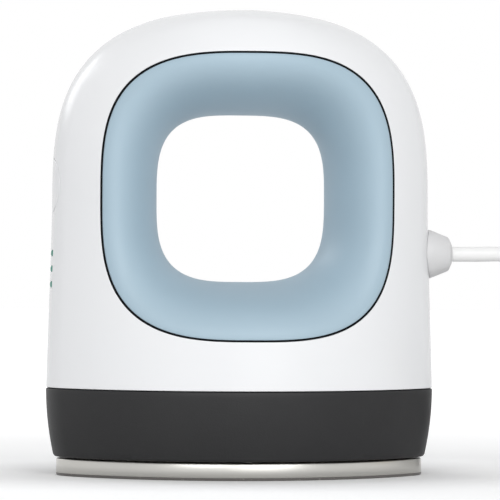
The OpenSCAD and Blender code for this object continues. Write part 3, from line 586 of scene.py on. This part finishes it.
def makeCoat():
    rings = [plateRing(inset, rise) for inset, rise in plate["coatEdge"]]
    return ringSolid("plateCoat", rings + [plateRing(0, plate["coat"] - plate["coatRoom"])], False)


settle(makeSkirt(), "housing", "skirt", "base_skirt")
settle(makePlate(), "housing", "aluminium", "heat_plate")
settle(makeCoat(), "housing", "ceramic_coat", "plate_coating")
print("base made")


def makeButton():
    radius, lip, plunger = button["diameter"] / 2, button["lip"], button["plungerRadius"]
    brim = radius + button["flange"]
    flangeBack = -endX(0, button["z"]) + button["thickness"] + button["flangeThickness"]
    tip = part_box("power_button")[1][0] * 1000

    def faceRing(r, sink):
        return [(sink - endX(y, z), y, z) for _, y, z in endCircle(0, button["z"], r, button["steps"])]

    def sunkRing(r, room):
        return [(min(x, flangeBack - room), y, z) for x, y, z in faceRing(r, button["flangeSink"])]

    def flatRing(r, x):
        return endCircle(x, button["z"], r, button["steps"])

    # a tiny ring closes the middle at both ends
    rings = [faceRing((radius - lip) * max(0.01, i / button["faceRings"]), 0) for i in range(button["faceRings"] + 1)]
    rings += [faceRing(radius - out * lip, down * lip) for out, down in reversed(lipRound)]
    rings += [sunkRing(radius, button["flangeLeast"]), sunkRing(brim, button["flangeLeast"] / 2)]
    rings += [flatRing(brim, flangeBack)]
    rings += [flatRing(plunger, flangeBack), flatRing(plunger, tip - button["plungerEdge"])]
    rings += [flatRing(plunger - button["plungerEdge"], tip), flatRing(0.02, tip)]
    return ringSolid("powerButton", rings, False)


def makeLight(k):
    z0 = lights["lowest"] + k * lights["pitch"]
    outline = roundBox(lights["width"], lights["height"], lights["corner"])
    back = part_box("light_pipes")[1][0] * 1000
    rings = []
    for share, sink in lights["profile"]:
        spots = [(p[0] * share, z0 + p[1] * share) for p in outline]
        rings.append([(sink - endX(y, z), y, z) for y, z in spots])
    rings.append([(back, p[0], z0 + p[1]) for p in outline])
    return ringSolid("light", rings, False)


settle(makeButton(), "power_button", "shell", "power_button")
allLights = joinPieces("indicatorLights", [makeLight(k) for k in range(lights["count"])])
settle(allLights, "housing", "light", "light_pipes")
print("button and lights made")


# strain relief, tie and plug
gland = {
    "length": 5.4, "baseRadius": 5.55, "tipRadius": 3.875, "chamfer": 0.75, "tipRim": 0.5, "baseRim": 0.5,
    "neckRadius": 4.35, "flangeRadius": 6.35, "flangeFrom": -5.5, "flangeTo": -4.3,
    "cordRoom": 0.02,
    "shellRoom": 0.03,       # between its base, which follows the round end, and the shells
    "baseEdge": 0.12, "shoulderEdge": 0.3, "steps": 96,
}


def easedCorner(before, corner, after, size, steps=6):
    # points that round a corner of a profile off over a distance
    start = corner + (before - corner).normalized() * size
    finish = corner + (after - corner).normalized() * size
    shares = [i / steps for i in range(steps + 1)]
    return [start * (1 - t) ** 2 + corner * 2 * t * (1 - t) + finish * t ** 2 for t in shares]


def makeGland():
    bore = cord["diameter"] / 2 + gland["cordRoom"]
    mouth = cordStart - gland["length"]

    def ring(radius, along, onShell=False):
        circle = endCircle(0, cord["exitZ"], radius, gland["steps"])
        return [(along + (endX(y, z) + gland["shellRoom"] if onShell else mouth), y, z) for _, y, z in circle]

    inside = [
        (bore, gland["flangeFrom"]), (gland["flangeRadius"], gland["flangeFrom"]),
        (gland["flangeRadius"], gland["flangeTo"]), (gland["neckRadius"], gland["flangeTo"]),
    ]
    foot = [
        (gland["neckRadius"], 0), (gland["baseRadius"] - gland["baseEdge"], 0),
        (gland["baseRadius"], gland["baseEdge"]),
    ]
    rim = Vector((gland["baseRadius"], gland["baseRim"]))
    shoulder = Vector((gland["tipRadius"], gland["length"] - gland["chamfer"]))
    tip = Vector((cord["diameter"] / 2 + gland["tipRim"], gland["length"]))
    end = Vector((bore, gland["length"]))
    outside = [rim] + easedCorner(rim, shoulder, tip, gland["shoulderEdge"])
    outside += easedCorner(shoulder, tip, end, gland["baseEdge"]) + [end]
    rings = [ring(r, d) for r, d in inside] + [ring(r, d, True) for r, d in foot] + [ring(p.x, p.y) for p in outside]
    return ringSolid("strainRelief", rings)


tie = {
    "thickness": 0.7, "width": 9, "room": 0.3, "fit": 0.02, "outerEdge": 0.12, "innerEdge": 0.1,
    "freeEnd": 9, "freeThickness": 0.6, "freeWidth": 0.96, "freeFrom": 1.5, "freeRoom": 0.04, "freeSteps": 20,
    "liftFrom": 0.75, "lift": 6, "roundFrom": 0.9, "rounding": 40,       # shares of the free end, and how strong
}


def strapCorners():
    # middles of the turns that the strap runs round, beside and above the middle of the coil
    innerTurn = cord["coilRadius"] - coilStep * cord["turns"] - cord["diameter"] / 2
    innerX = -math.sqrt(innerTurn ** 2 - (tie["width"] / 2) ** 2) - cord["diameter"] / 2
    outerX = -cord["coilRadius"]
    topIn, topOut = coilStep * (cord["layers"] - 1.25), coilStep * (cord["layers"] - 0.5) + tie["room"]
    return [Vector((outerX, 0)), Vector((innerX, 0)), Vector((innerX, topIn)), Vector((outerX, topOut))]


def strapOutline(reach, steps=14):
    corners = strapCorners()
    points = []
    for k, corner in enumerate(corners):
        before, after = corner - corners[k - 1], corners[(k + 1) % len(corners)] - corner
        start = math.atan2(-before.x, before.y)
        turn = (math.atan2(after.y, after.x) - math.atan2(before.y, before.x)) % (2 * math.pi)
        for i in range(steps + 1):
            a = start + turn * i / steps
            points.append((corner.x + reach * math.cos(a), corner.y + reach * math.sin(a)))
    return points


def makeTie():
    near = cord["diameter"] / 2 + tie["room"]
    outer, inner = strapOutline(near + tie["thickness"] - tie["fit"]), strapOutline(near)
    middle = [((a + c) / 2, (b + d) / 2) for (a, b), (c, d) in zip(outer, inner)]
    half, outerEdge, innerEdge = tie["width"] / 2, tie["outerEdge"], tie["innerEdge"]

    def placed(x, y, z):
        return (coilCentre.x + x, coilCentre.y + y, coilCentre.z + z)

    sections = (
        (outerEdge - half, outer), (half - outerEdge, outer), (half, middle),
        (half - innerEdge, inner), (innerEdge - half, inner), (-half, middle),
    )
    loop = ringSolid("tieLoop", [[placed(p[0], y, p[1]) for p in outline] for y, outline in sections], sharpAngle=50)
    # the free end, laid back over the slanting top
    topIn, topOut = strapCorners()[2:]
    along = (topOut - topIn).normalized()
    up = Vector((along.y, -along.x))
    foot = topIn + along * tie["freeFrom"] + up * (near + tie["thickness"])
    tab = []
    for i in range(tie["freeSteps"] + 1):
        t = i / tie["freeSteps"]
        lift = tie["freeRoom"] + tie["lift"] * max(0, t - tie["liftFrom"]) ** 2
        under = foot + along * tie["freeEnd"] * t + up * lift
        over = under + up * tie["freeThickness"]
        w = half * tie["freeWidth"] * (1 - tie["rounding"] * max(0, t - tie["roundFrom"]) ** 2)
        tab.append([placed(p.x, y, p.y) for p, y in ((under, -w), (under, w), (over, w), (over, -w))])
    return joinPieces("coilTie", [loop, ringSolid("tieEnd", tab, False, sharpAngle=50)])


plug = {
    "neck": 12, "neckRadius": 2.45, "neckGrowth": 0.95, "ribs": 5, "ribSteps": 8, "ribDepth": 0.28,
    "ribbed": 0.86,          # share of the neck that has ribs
    # past the neck: distance from the cord's side, width, height, corner
    "stations": [
        (11.2, 9, 8.6, 4.2), (12.1, 13, 10.2, 4.4), (13, 16.4, 11.8, 4.5), (14, 18.4, 13, 4.5), (15.5, 19.6, 13.7, 4.5),
        (17.5, 19.9, 13.9, 4.5), (19.2, 20.1, 14, 4.5), (20.6, 21.2, 14.6, 4.4), (21.8, 23.2, 15.9, 4.3),
        (23, 24.5, 16.7, 4.2), (24.5, 24.95, 16.97, 4.1), (28, 25, 17, 4), (31.5, 25, 17, 4), (32.8, 24.7, 16.7, 3.9),
        (33.5, 24.1, 16.1, 3.6), (33.9, 23.2, 15.2, 3.2), (34, 22.4, 14.4, 2.8),
    ],
    "ridges": 4, "ridgeFrom": 15.4, "ridgePitch": 1.5, "ridgeLength": 11, "ridgeWidth": 0.8, "ridgeCorner": 0.39,
    "ridgeHeight": 6.5,
    # share of its outline, and how far it has risen there
    "ridgeProfile": ((1, 0), (1, 0.45), (0.9, 0.62), (0.7, 0.7)),
}


def makePlug():
    ribbed = plug["neck"] * plug["ribbed"]
    ribPoints = plug["ribs"] * plug["ribSteps"]
    stations = []
    for i in range(ribPoints + 1):
        d = ribbed * i / ribPoints
        wave = plug["ribDepth"] * math.cos(2 * math.pi * plug["ribs"] * d / ribbed) ** 3
        r = plug["neckRadius"] + plug["neckGrowth"] * d / plug["neck"] + wave
        stations.append((d, 2 * r, 2 * r, r))
    rings = []
    for d, w, h, r in stations + plug["stations"]:
        outline = roundBox(w, h, min(r, w / 2 - 0.001, h / 2 - 0.001), 10)
        rings.append([(plugStart.x + p[0], plugStart.y - d, plugStart.z + p[1]) for p in outline])
    pieces = [ringSolid("plugShape", rings, False, sharpAngle=40)]
    # a row of finger ridges on each broad face
    outline = roundBox(plug["ridgeLength"], plug["ridgeWidth"], plug["ridgeCorner"], 6)
    for side in (-1, 1):
        for k in range(plug["ridges"]):
            y = plugStart.y - plug["ridgeFrom"] - plug["ridgePitch"] * k
            rings = []
            for s, rise in plug["ridgeProfile"]:
                z = plugStart.z + side * (plug["ridgeHeight"] + rise)
                rings.append([(plugStart.x + p[0] * s, y + p[1] * s, z) for p in outline])
            pieces.append(ringSolid("plugRidge", rings, False, sharpAngle=50))
    return joinPieces("mainsPlug", pieces)


blade = {
    "height": 6.35, "thickness": 1.5, "edge": 0.2, "tipLength": 1.2, "tipCorner": 1.9, "tipSteps": 12,
    "holeFromTip": 4.6, "holeRadius": 1.55, "holePoints": 32,
}


def bladeOutlines(tipY, backY):
    # side view of a blade with a rounded tip, and the usual hole near it
    half, corner, start = blade["height"] / 2, blade["tipCorner"], tipY + blade["tipLength"]
    outer = [(start, -half), (backY, -half), (backY, half), (start, half)]
    for i in range(1, blade["tipSteps"]):
        a = math.pi * i / blade["tipSteps"]
        flat = math.copysign(half - corner, math.cos(a)) * abs(math.cos(a)) ** 0.5
        outer.append((start - blade["tipLength"] * math.sin(a), corner * math.cos(a) + flat))
    holeY, r = tipY + blade["holeFromTip"], blade["holeRadius"]
    return outer, [(holeY + r * math.cos(a), r * math.sin(a)) for a in roundAngles(blade["holePoints"])]


def makeBlades():
    low, high = [Vector(c) * 1000 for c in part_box("plug_blades")]
    blades = []
    for x in (low.x + blade["thickness"] / 2, high.x - blade["thickness"] / 2):
        line = bpy.data.curves.new("blade", "CURVE")
        line.dimensions = "2D"
        line.fill_mode = "BOTH"
        line.extrude = (blade["thickness"] / 2 - blade["edge"]) / 1000
        line.bevel_depth = blade["edge"] / 1000
        line.bevel_resolution = 2
        line.offset = -blade["edge"] / 1000
        for shape in bladeOutlines(low.y, high.y):
            spline = line.splines.new("POLY")
            spline.use_cyclic_u = True
            spline.points.add(len(shape) - 1)
            for point, (a, b) in zip(spline.points, shape):
                point.co = (a / 1000, b / 1000, 0, 1)
        flat = addToScene("blade", line)
        bpy.context.view_layer.update()
        mesh = bpy.data.meshes.new_from_object(flat.evaluated_get(bpy.context.evaluated_depsgraph_get()))
        bpy.data.objects.remove(flat)
        for vertex in mesh.vertices:
            a, b, c = vertex.co
            vertex.co = (x / 1000 + c, a, plugStart.z / 1000 + b)
        blades.append(addToScene("blade", mesh))
    whole = joinPieces("plugBlades", blades)
    whole.data.shade_smooth()
    whole.data.set_sharp_from_angle(angle=math.radians(30))
    return whole


settle(makeGland(), "housing", "gland", "cord_gland")
coilTie = settle(makeTie(), "housing", "tie", "cord_tie")
mainsPlug = settle(makePlug(), "housing", "plug", "plug_body")
plugBlades = settle(makeBlades(), "housing", "blade", "plug_blades")
print("strain relief, tie and plug made")


class Wire:
    # a node's output that can be reckoned with
    def __init__(self, graph, socket):
        self.graph = graph
        self.socket = socket

    def reckon(self, operation, first, second):
        return self.graph.node("ShaderNodeMath", {"operation": operation}, {0: first, 1: second})

    def __add__(self, other):
        return self.reckon("ADD", self, other)

    def __radd__(self, other):
        return self.reckon("ADD", other, self)

    def __sub__(self, other):
        return self.reckon("SUBTRACT", self, other)

    def __rsub__(self, other):
        return self.reckon("SUBTRACT", other, self)

    def __mul__(self, other):
        return self.reckon("MULTIPLY", self, other)

    def __rmul__(self, other):
        return self.reckon("MULTIPLY", other, self)

    def larger(self, other):
        return self.reckon("MAXIMUM", self, other)


class Graph:
    # a node tree, with one way to add a node to it
    def __init__(self, tree):
        self.tree = tree

    def node(self, kind, settings=None, sockets=None, output=0):
        made = self.tree.nodes.new(kind)
        for name, value in (settings or {}).items():
            if name == "stops":
                for k, (at, colour) in enumerate(value):
                    stop = made.color_ramp.elements[k] if k < 2 else made.color_ramp.elements.new(at)
                    stop.position = at
                    stop.color = colour
            else:
                setattr(made, name, value)
        for name, value in (sockets or {}).items():
            self.join(value, made.inputs[name])
        return Wire(self, made.outputs[output])

    def join(self, value, socket):
        if isinstance(value, Wire):
            self.tree.links.new(value.socket, socket)
        else:
            socket.default_value = value

    def backgroundRays(self):
        # 1 where the white background shows: to the camera, and in metal and glass
        rays = ("Is Camera Ray", "Is Glossy Ray", "Is Transmission Ray")
        camera, glossy, clear = [self.node("ShaderNodeLightPath", output=name) for name in rays]
        return camera.larger(glossy).larger(clear)


class Finish(Graph):
    # a material, with the sizes in its textures in metres
    def __init__(self, name, **sockets):
        self.material = bpy.data.materials.new(name)
        self.material.use_nodes = True
        super().__init__(self.material.node_tree)
        self.shader = self.tree.nodes["Principled BSDF"]
        self.place = self.node("ShaderNodeTexCoord", output="Object")
        for socket, value in sockets.items():
            self.shader.inputs[socket.replace("_", " ")].default_value = value

    def feed(self, name, value):
        self.join(value, self.shader.inputs[name])

    def stretched(self, x, y, z):
        return self.node("ShaderNodeVectorMath", {"operation": "MULTIPLY"}, {0: self.place, 1: (x, y, z)})

    def noise(self, size, detail=3, roughness=0.5, place=None):
        return self.node("ShaderNodeTexNoise", {}, {
            "Vector": place or self.place, "Scale": 1 / size, "Detail": detail, "Roughness": roughness}, "Fac")

    def blendColours(self, amount, first, second):
        return self.node("ShaderNodeMix", {"data_type": "RGBA"}, {0: amount, 6: first, 7: second}, 2)

    def colour(self, amount, first, second):
        self.feed("Base Color", self.blendColours(amount, first, second))

    def clampTo(self, value, low, high):
        return self.node("ShaderNodeMapRange", {}, {"Value": value, "From Min": low, "From Max": high}, "Result")

    def bump(self, height, distance, strength=1):
        self.feed("Normal", self.node("ShaderNodeBump", {}, {
            "Height": height, "Distance": distance, "Strength": strength}, "Normal"))


def rgb(r, g, b):
    return (r, g, b, 1)


def shellWhite():
    finish = Finish("shellWhite", IOR=1.5)
    finish.colour(finish.noise(0.03), rgb(0.80, 0.81, 0.825), rgb(0.83, 0.835, 0.845))
    finish.feed("Roughness", 0.2 + finish.noise(0.012, 4) * 0.1)
    finish.bump(finish.noise(0.0014, 2), 0.00004, 0.15)
    return finish.material


def gripBlue():
    finish = Finish("gripBlue", IOR=1.45)
    finish.colour(finish.noise(0.02, 4), rgb(0.36, 0.475, 0.552), rgb(0.38, 0.5, 0.582))
    finish.feed("Roughness", 0.42 + finish.noise(0.008, 3) * 0.12)
    finish.bump(finish.noise(0.0005, 2), 0.00003, 0.35)
    return finish.material


def trimBlack():
    finish = Finish("trimBlack", IOR=1.2)
    finish.colour(finish.noise(0.004), rgb(0.002, 0.003, 0.004), rgb(0.004, 0.005, 0.007))
    finish.feed("Roughness", 0.6 + finish.noise(0.001) * 0.2)
    return finish.material


def skirtCharcoal():
    finish = Finish("skirtCharcoal", IOR=1.36)
    finish.colour(finish.noise(0.015, 4), rgb(0.015, 0.015, 0.016), rgb(0.02, 0.02, 0.021))
    finish.feed("Roughness", 0.46 + finish.noise(0.006, 3) * 0.14)
    finish.bump(finish.noise(0.0004, 3), 0.00005, 0.5)
    return finish.material


def plateAluminium():
    finish = Finish("plateAluminium")
    lines = finish.noise(1, 3, 0.6, finish.stretched(90, 90, 5200))
    tint = finish.noise(0.02, 2)
    finish.colour(tint * 0.6 + lines * 0.4, rgb(0.50, 0.49, 0.465), rgb(0.58, 0.57, 0.54))
    finish.feed("Metallic", 0.94 + tint * 0.06)
    finish.feed("Roughness", 0.26 + lines * 0.08)
    finish.bump(lines, 0.00003, 0.1)
    return finish.material


def ceramicCoat():
    finish = Finish("ceramicCoat", IOR=1.55)
    specks = finish.clampTo(finish.noise(0.0009, 1), 0.66, 0.72)
    tone = finish.blendColours(finish.noise(0.03), rgb(0.10, 0.095, 0.09), rgb(0.13, 0.122, 0.115))
    finish.colour(specks * 0.5, tone, rgb(0.3, 0.29, 0.27))
    finish.feed("Roughness", 0.28 + finish.noise(0.01, 4) * 0.12)
    finish.bump(finish.noise(0.0012, 3), 0.00003, 0.4)
    return finish.material


def softWhite(name, first, second, roughness, grainSize=0.0006, grainStrength=0.4):
    finish = Finish(name, IOR=1.46)
    finish.colour(finish.noise(0.012, 4), first, second)
    finish.feed("Roughness", roughness + finish.noise(0.005, 3) * 0.12)
    finish.bump(finish.noise(grainSize, 2), 0.00003, grainStrength)
    return finish.material


def lightGreen():
    finish = Finish("lightGreen", Emission_Strength=0.1, IOR=1.25)
    core = finish.noise(0.003, 2)
    tone = finish.blendColours(core, rgb(0.025, 0.18, 0.13), rgb(0.035, 0.24, 0.18))
    finish.feed("Base Color", tone)
    finish.feed("Emission Color", tone)
    finish.feed("Roughness", 0.42 + core * 0.1)
    return finish.material


def zincSteel():
    finish = Finish("zincSteel", Metallic=1.0)
    finish.colour(finish.noise(0.003, 4), rgb(0.5, 0.5, 0.5), rgb(0.68, 0.67, 0.64))
    finish.feed("Roughness", 0.3 + finish.noise(0.0008, 3) * 0.2)
    return finish.material


def bentSheet():
    finish = Finish("shieldSheet", Metallic=1.0)
    marks = finish.noise(1, 4, 0.6, finish.stretched(40, 1600, 40))
    finish.colour(marks, rgb(0.66, 0.66, 0.66), rgb(0.82, 0.82, 0.81))
    finish.feed("Roughness", 0.2 + marks * 0.2)
    finish.bump(marks, 0.00003, 0.3)
    return finish.material


def heatTinted():
    finish = Finish("elementSheath", Metallic=0.9)
    bands = finish.noise(0.006, 4)
    stops = [(0.3, rgb(0.35, 0.31, 0.26)), (0.7, rgb(0.5, 0.46, 0.4)), (0.5, rgb(0.42, 0.36, 0.36))]
    finish.feed("Base Color", finish.node("ShaderNodeValToRGB", {"stops": stops}, {"Fac": bands}, "Color"))
    finish.feed("Roughness", 0.4 + bands * 0.2)
    return finish.material


def pressedFibre():
    finish = Finish("insulationFibre")
    fibres = finish.noise(1, 5, 0.65, finish.stretched(260, 900, 900))
    finish.colour(fibres, rgb(0.5, 0.42, 0.3), rgb(0.74, 0.67, 0.54))
    finish.feed("Roughness", 0.8 + fibres * 0.15)
    finish.bump(fibres, 0.0001, 0.5)
    return finish.material


def boardGreen():
    finish = Finish("boardGreen", IOR=1.5)
    tracks = finish.node("ShaderNodeTexBrick", {"offset": 0.5}, {
        "Vector": finish.place, "Scale": 160.0, "Mortar Size": 0.012, "Brick Width": 0.7, "Row Height": 0.28}, "Fac")
    mask = finish.node("ShaderNodeTexVoronoi", {"feature": "DISTANCE_TO_EDGE"}, {
        "Vector": finish.place, "Scale": 110.0}, "Distance")
    edge = finish.clampTo(mask, 0.05, 0.09)
    base = finish.blendColours(edge, rgb(0.04, 0.25, 0.11), rgb(0.012, 0.13, 0.055))
    finish.colour(tracks * 0.35, base, rgb(0.06, 0.3, 0.15))
    finish.feed("Roughness", 0.35 + edge * 0.1)
    finish.bump(1 - edge, 0.00005, 0.4)
    return finish.material


def mouldedTone(name, first, second, roughness, size=0.006, metallic=0.0):
    finish = Finish(name, Metallic=metallic)
    tone = finish.noise(size, 4)
    finish.colour(tone, first, second)
    finish.feed("Roughness", roughness + tone * 0.12)
    finish.bump(finish.noise(size / 12, 2), 0.00003, 0.3)
    return finish.material


def wovenStrap():
    finish = Finish("strapWeave", Sheen_Weight=0.3)
    across, along = [
        finish.node("ShaderNodeTexWave", {"wave_type": "BANDS", "bands_direction": way}, {
            "Vector": finish.place, "Scale": 260.0, "Distortion": 0.6}, "Fac") for way in ("X", "Y")
    ]
    weave = across * 0.5 + along * 0.5
    finish.colour(weave, rgb(0.16, 0.16, 0.165), rgb(0.3, 0.3, 0.31))
    finish.feed("Roughness", 0.75 + weave * 0.2)
    finish.bump(weave, 0.00012, 0.7)
    return finish.material


slots = {
    "shell": shellWhite(),
    "grip": gripBlue(),
    "trim": trimBlack(),
    "skirt": skirtCharcoal(),
    "aluminium": plateAluminium(),
    "ceramic_coat": ceramicCoat(),
    "steel": zincSteel(),
    "element_sheath": heatTinted(),
    "terminal": mouldedTone("terminalBead", rgb(0.68, 0.64, 0.55), rgb(0.78, 0.74, 0.66), 0.4),
    "insulation": pressedFibre(),
    "shield": bentSheet(),
    "sensor": mouldedTone("sensorPotting", rgb(0.36, 0.25, 0.15), rgb(0.46, 0.33, 0.2), 0.5),
    "fuse": mouldedTone("fuseCan", rgb(0.5, 0.19, 0.04), rgb(0.6, 0.26, 0.06), 0.35, 0.003, 0.6),
    "board": boardGreen(),
    "terminal_green": mouldedTone("terminalGreen", rgb(0.02, 0.2, 0.08), rgb(0.03, 0.26, 0.11), 0.4),
    "relay": mouldedTone("relayBlue", rgb(0.012, 0.025, 0.12), rgb(0.02, 0.04, 0.17), 0.3),
    "capacitor_film": mouldedTone("capacitorFilm", rgb(0.4, 0.22, 0.03), rgb(0.5, 0.3, 0.05), 0.3),
    "wire_red": mouldedTone("wireRed", rgb(0.32, 0.02, 0.012), rgb(0.42, 0.035, 0.02), 0.45),
    "wire_yellow": mouldedTone("wireYellow", rgb(0.5, 0.32, 0.03), rgb(0.62, 0.42, 0.06), 0.5),
    "wire_brown": mouldedTone("wireBrown", rgb(0.09, 0.035, 0.012), rgb(0.13, 0.055, 0.02), 0.45),
    "wire_grey": mouldedTone("wireGrey", rgb(0.16, 0.16, 0.16), rgb(0.22, 0.22, 0.22), 0.45),
    "switch": mouldedTone("switchBlack", rgb(0.015, 0.015, 0.016), rgb(0.03, 0.03, 0.03), 0.45),
    "led": mouldedTone("ledGreen", rgb(0.04, 0.4, 0.25), rgb(0.08, 0.5, 0.33), 0.25),
    "light": lightGreen(),
    "gland": softWhite("glandSoft", rgb(0.61, 0.61, 0.615), rgb(0.66, 0.66, 0.665), 0.38),
    "clamp": softWhite("clampNylon", rgb(0.55, 0.55, 0.53), rgb(0.62, 0.62, 0.6), 0.4),
    "cord": softWhite("cordSheath", rgb(0.80, 0.80, 0.795), rgb(0.85, 0.85, 0.845), 0.36, 0.0009, 0.3),
    "tie": wovenStrap(),
    "plug": softWhite("plugMoulded", rgb(0.76, 0.76, 0.755), rgb(0.81, 0.81, 0.805), 0.4),
    "blade": mouldedTone("bladeBrass", rgb(0.62, 0.47, 0.24), rgb(0.76, 0.6, 0.33), 0.25, 0.004, 1.0),
}
madePieces = {
    "shellFront": "shell", "shellRear": "shell", "gripRingFront": "grip", "gripRingRear": "grip",
    "trimBeadFront": "trim", "trimBeadRear": "trim", "baseSkirt": "skirt", "heatPlate": "aluminium",
    "plateCoat": "ceramic_coat", "powerButton": "shell", "indicatorLights": "light", "strainRelief": "gland",
    "mainsCord": "cord", "coilTie": "tie", "mainsPlug": "plug", "plugBlades": "blade",
}
for pieceName, slotName in madePieces.items():
    materials = bpy.data.objects[pieceName].data.materials
    materials.clear()
    materials.append(slots[slotName])
for subpart in frame["record"]["subparts"]:
    cadObject = bpy.data.objects.get(subpart["node"])
    if cadObject is not None:
        if cadObject.material_slots:
            for materialSlot in cadObject.material_slots:
                materialSlot.material = slots[subpart["material_slot"]]
        else:
            cadObject.data.materials.append(slots[subpart["material_slot"]])
print("finishes given")


# floor, background and light, in metres
studio = {
    "worldLevel": 0.45,
    "floorSize": 3.0, "floorTone": 0.88,
    "floorClouds": 1.01,     # times the floor's tone
    # painted light: a glow added where the background shows, low near the press and rising with distance, so that the
    # floor runs into the background past the object's shadow and a painted shade stays round its foot
    "glowNear": 0.25, "nearStart": 0.022, "nearEnd": 0.062,
    "glowFar": 0.40, "farStart": 0.08, "farEnd": 0.50,
    "glowSquash": 0.62,      # the press is longer than it is deep, and the shadow with it
}
lamps = {
    # place, what it points at, size, power
    "leftLight": ((-0.36, -1.15, 0.6), (0, 0, 0.05), (0.6, 0.6), 4.7),
    "rightLight": ((0.36, -1.15, 0.6), (0, 0, 0.05), (0.6, 0.6), 5.4),
    "topLight": ((0.0, 0.15, 1.1), (0, 0, 0.05), (0.8, 0.8), 0.8),
    "lowLight": ((0.22, -1.08, 0.12), (0, 0, 0.03), (0.5, 0.2), 0.45),
    "shoulderLight": ((-0.75, 0.66, 0.55), (0, 0, 0.09), (0.45, 0.45), 1.9),
}


def makeFloor():
    size, tone = studio["floorSize"], studio["floorTone"]
    mesh = bpy.data.meshes.new("floor")
    mesh.from_pydata([(-size, -size, 0), (size, -size, 0), (size, size, 0), (-size, size, 0)], [], [(0, 1, 2, 3)])
    floor = addToScene("floor", mesh)
    finish = Finish("floorPale", Roughness=0.9)
    finish.shader.inputs["Specular IOR Level"].default_value = 0.1
    lighter = tone * studio["floorClouds"]
    finish.colour(finish.noise(0.2), rgb(tone, tone, tone), rgb(lighter, lighter, lighter))
    squashed = finish.stretched(studio["glowSquash"], 1, 1)
    away = finish.node("ShaderNodeVectorMath", {"operation": "LENGTH"}, {0: squashed}, "Value")
    # painted light and shade: the floor's glow is kept low close to the press and rises with distance, which paints a
    # darker halo round its foot on top of the cast shadow
    near = finish.clampTo(away, studio["nearStart"], studio["nearEnd"]) * studio["glowNear"]
    far = finish.clampTo(away, studio["farStart"], studio["farEnd"]) * studio["glowFar"]
    strength = finish.backgroundRays() * (near + far)
    glow = finish.node("ShaderNodeEmission", {}, {"Color": rgb(1, 1, 1), "Strength": strength})
    both = finish.node("ShaderNodeAddShader", {}, {0: Wire(finish, finish.shader.outputs[0]), 1: glow})
    finish.join(both, finish.tree.nodes["Material Output"].inputs["Surface"])
    mesh.materials.append(finish.material)


def makeWorld():
    world = bpy.data.worlds.new("studioWorld")
    world.use_nodes = True
    world.node_tree.nodes.clear()
    sky = Graph(world.node_tree)
    soft = sky.node("ShaderNodeBackground", {}, {"Color": rgb(0.985, 0.99, 1.0), "Strength": studio["worldLevel"]})
    plain = sky.node("ShaderNodeBackground", {}, {"Color": rgb(1, 1, 1), "Strength": 1.0})
    mixed = sky.node("ShaderNodeMixShader", {}, {0: sky.backgroundRays(), 1: soft, 2: plain})
    sky.join(mixed, sky.tree.nodes.new("ShaderNodeOutputWorld").inputs["Surface"])
    bpy.context.scene.world = world


def softLight(name, place, aim, size, power):
    lamp = bpy.data.lights.new(name, "AREA")
    lamp.shape = "RECTANGLE"
    lamp.size, lamp.size_y = size
    lamp.energy = power
    light = addToScene(name, lamp)
    light.location = place
    light.rotation_euler = (Vector(aim) - Vector(place)).to_track_quat("-Z", "Y").to_euler()


makeFloor()
makeWorld()
for lampName, settings in lamps.items():
    softLight(lampName, *settings)
bpy.context.scene.view_settings.view_transform = "Standard"
print("studio made")
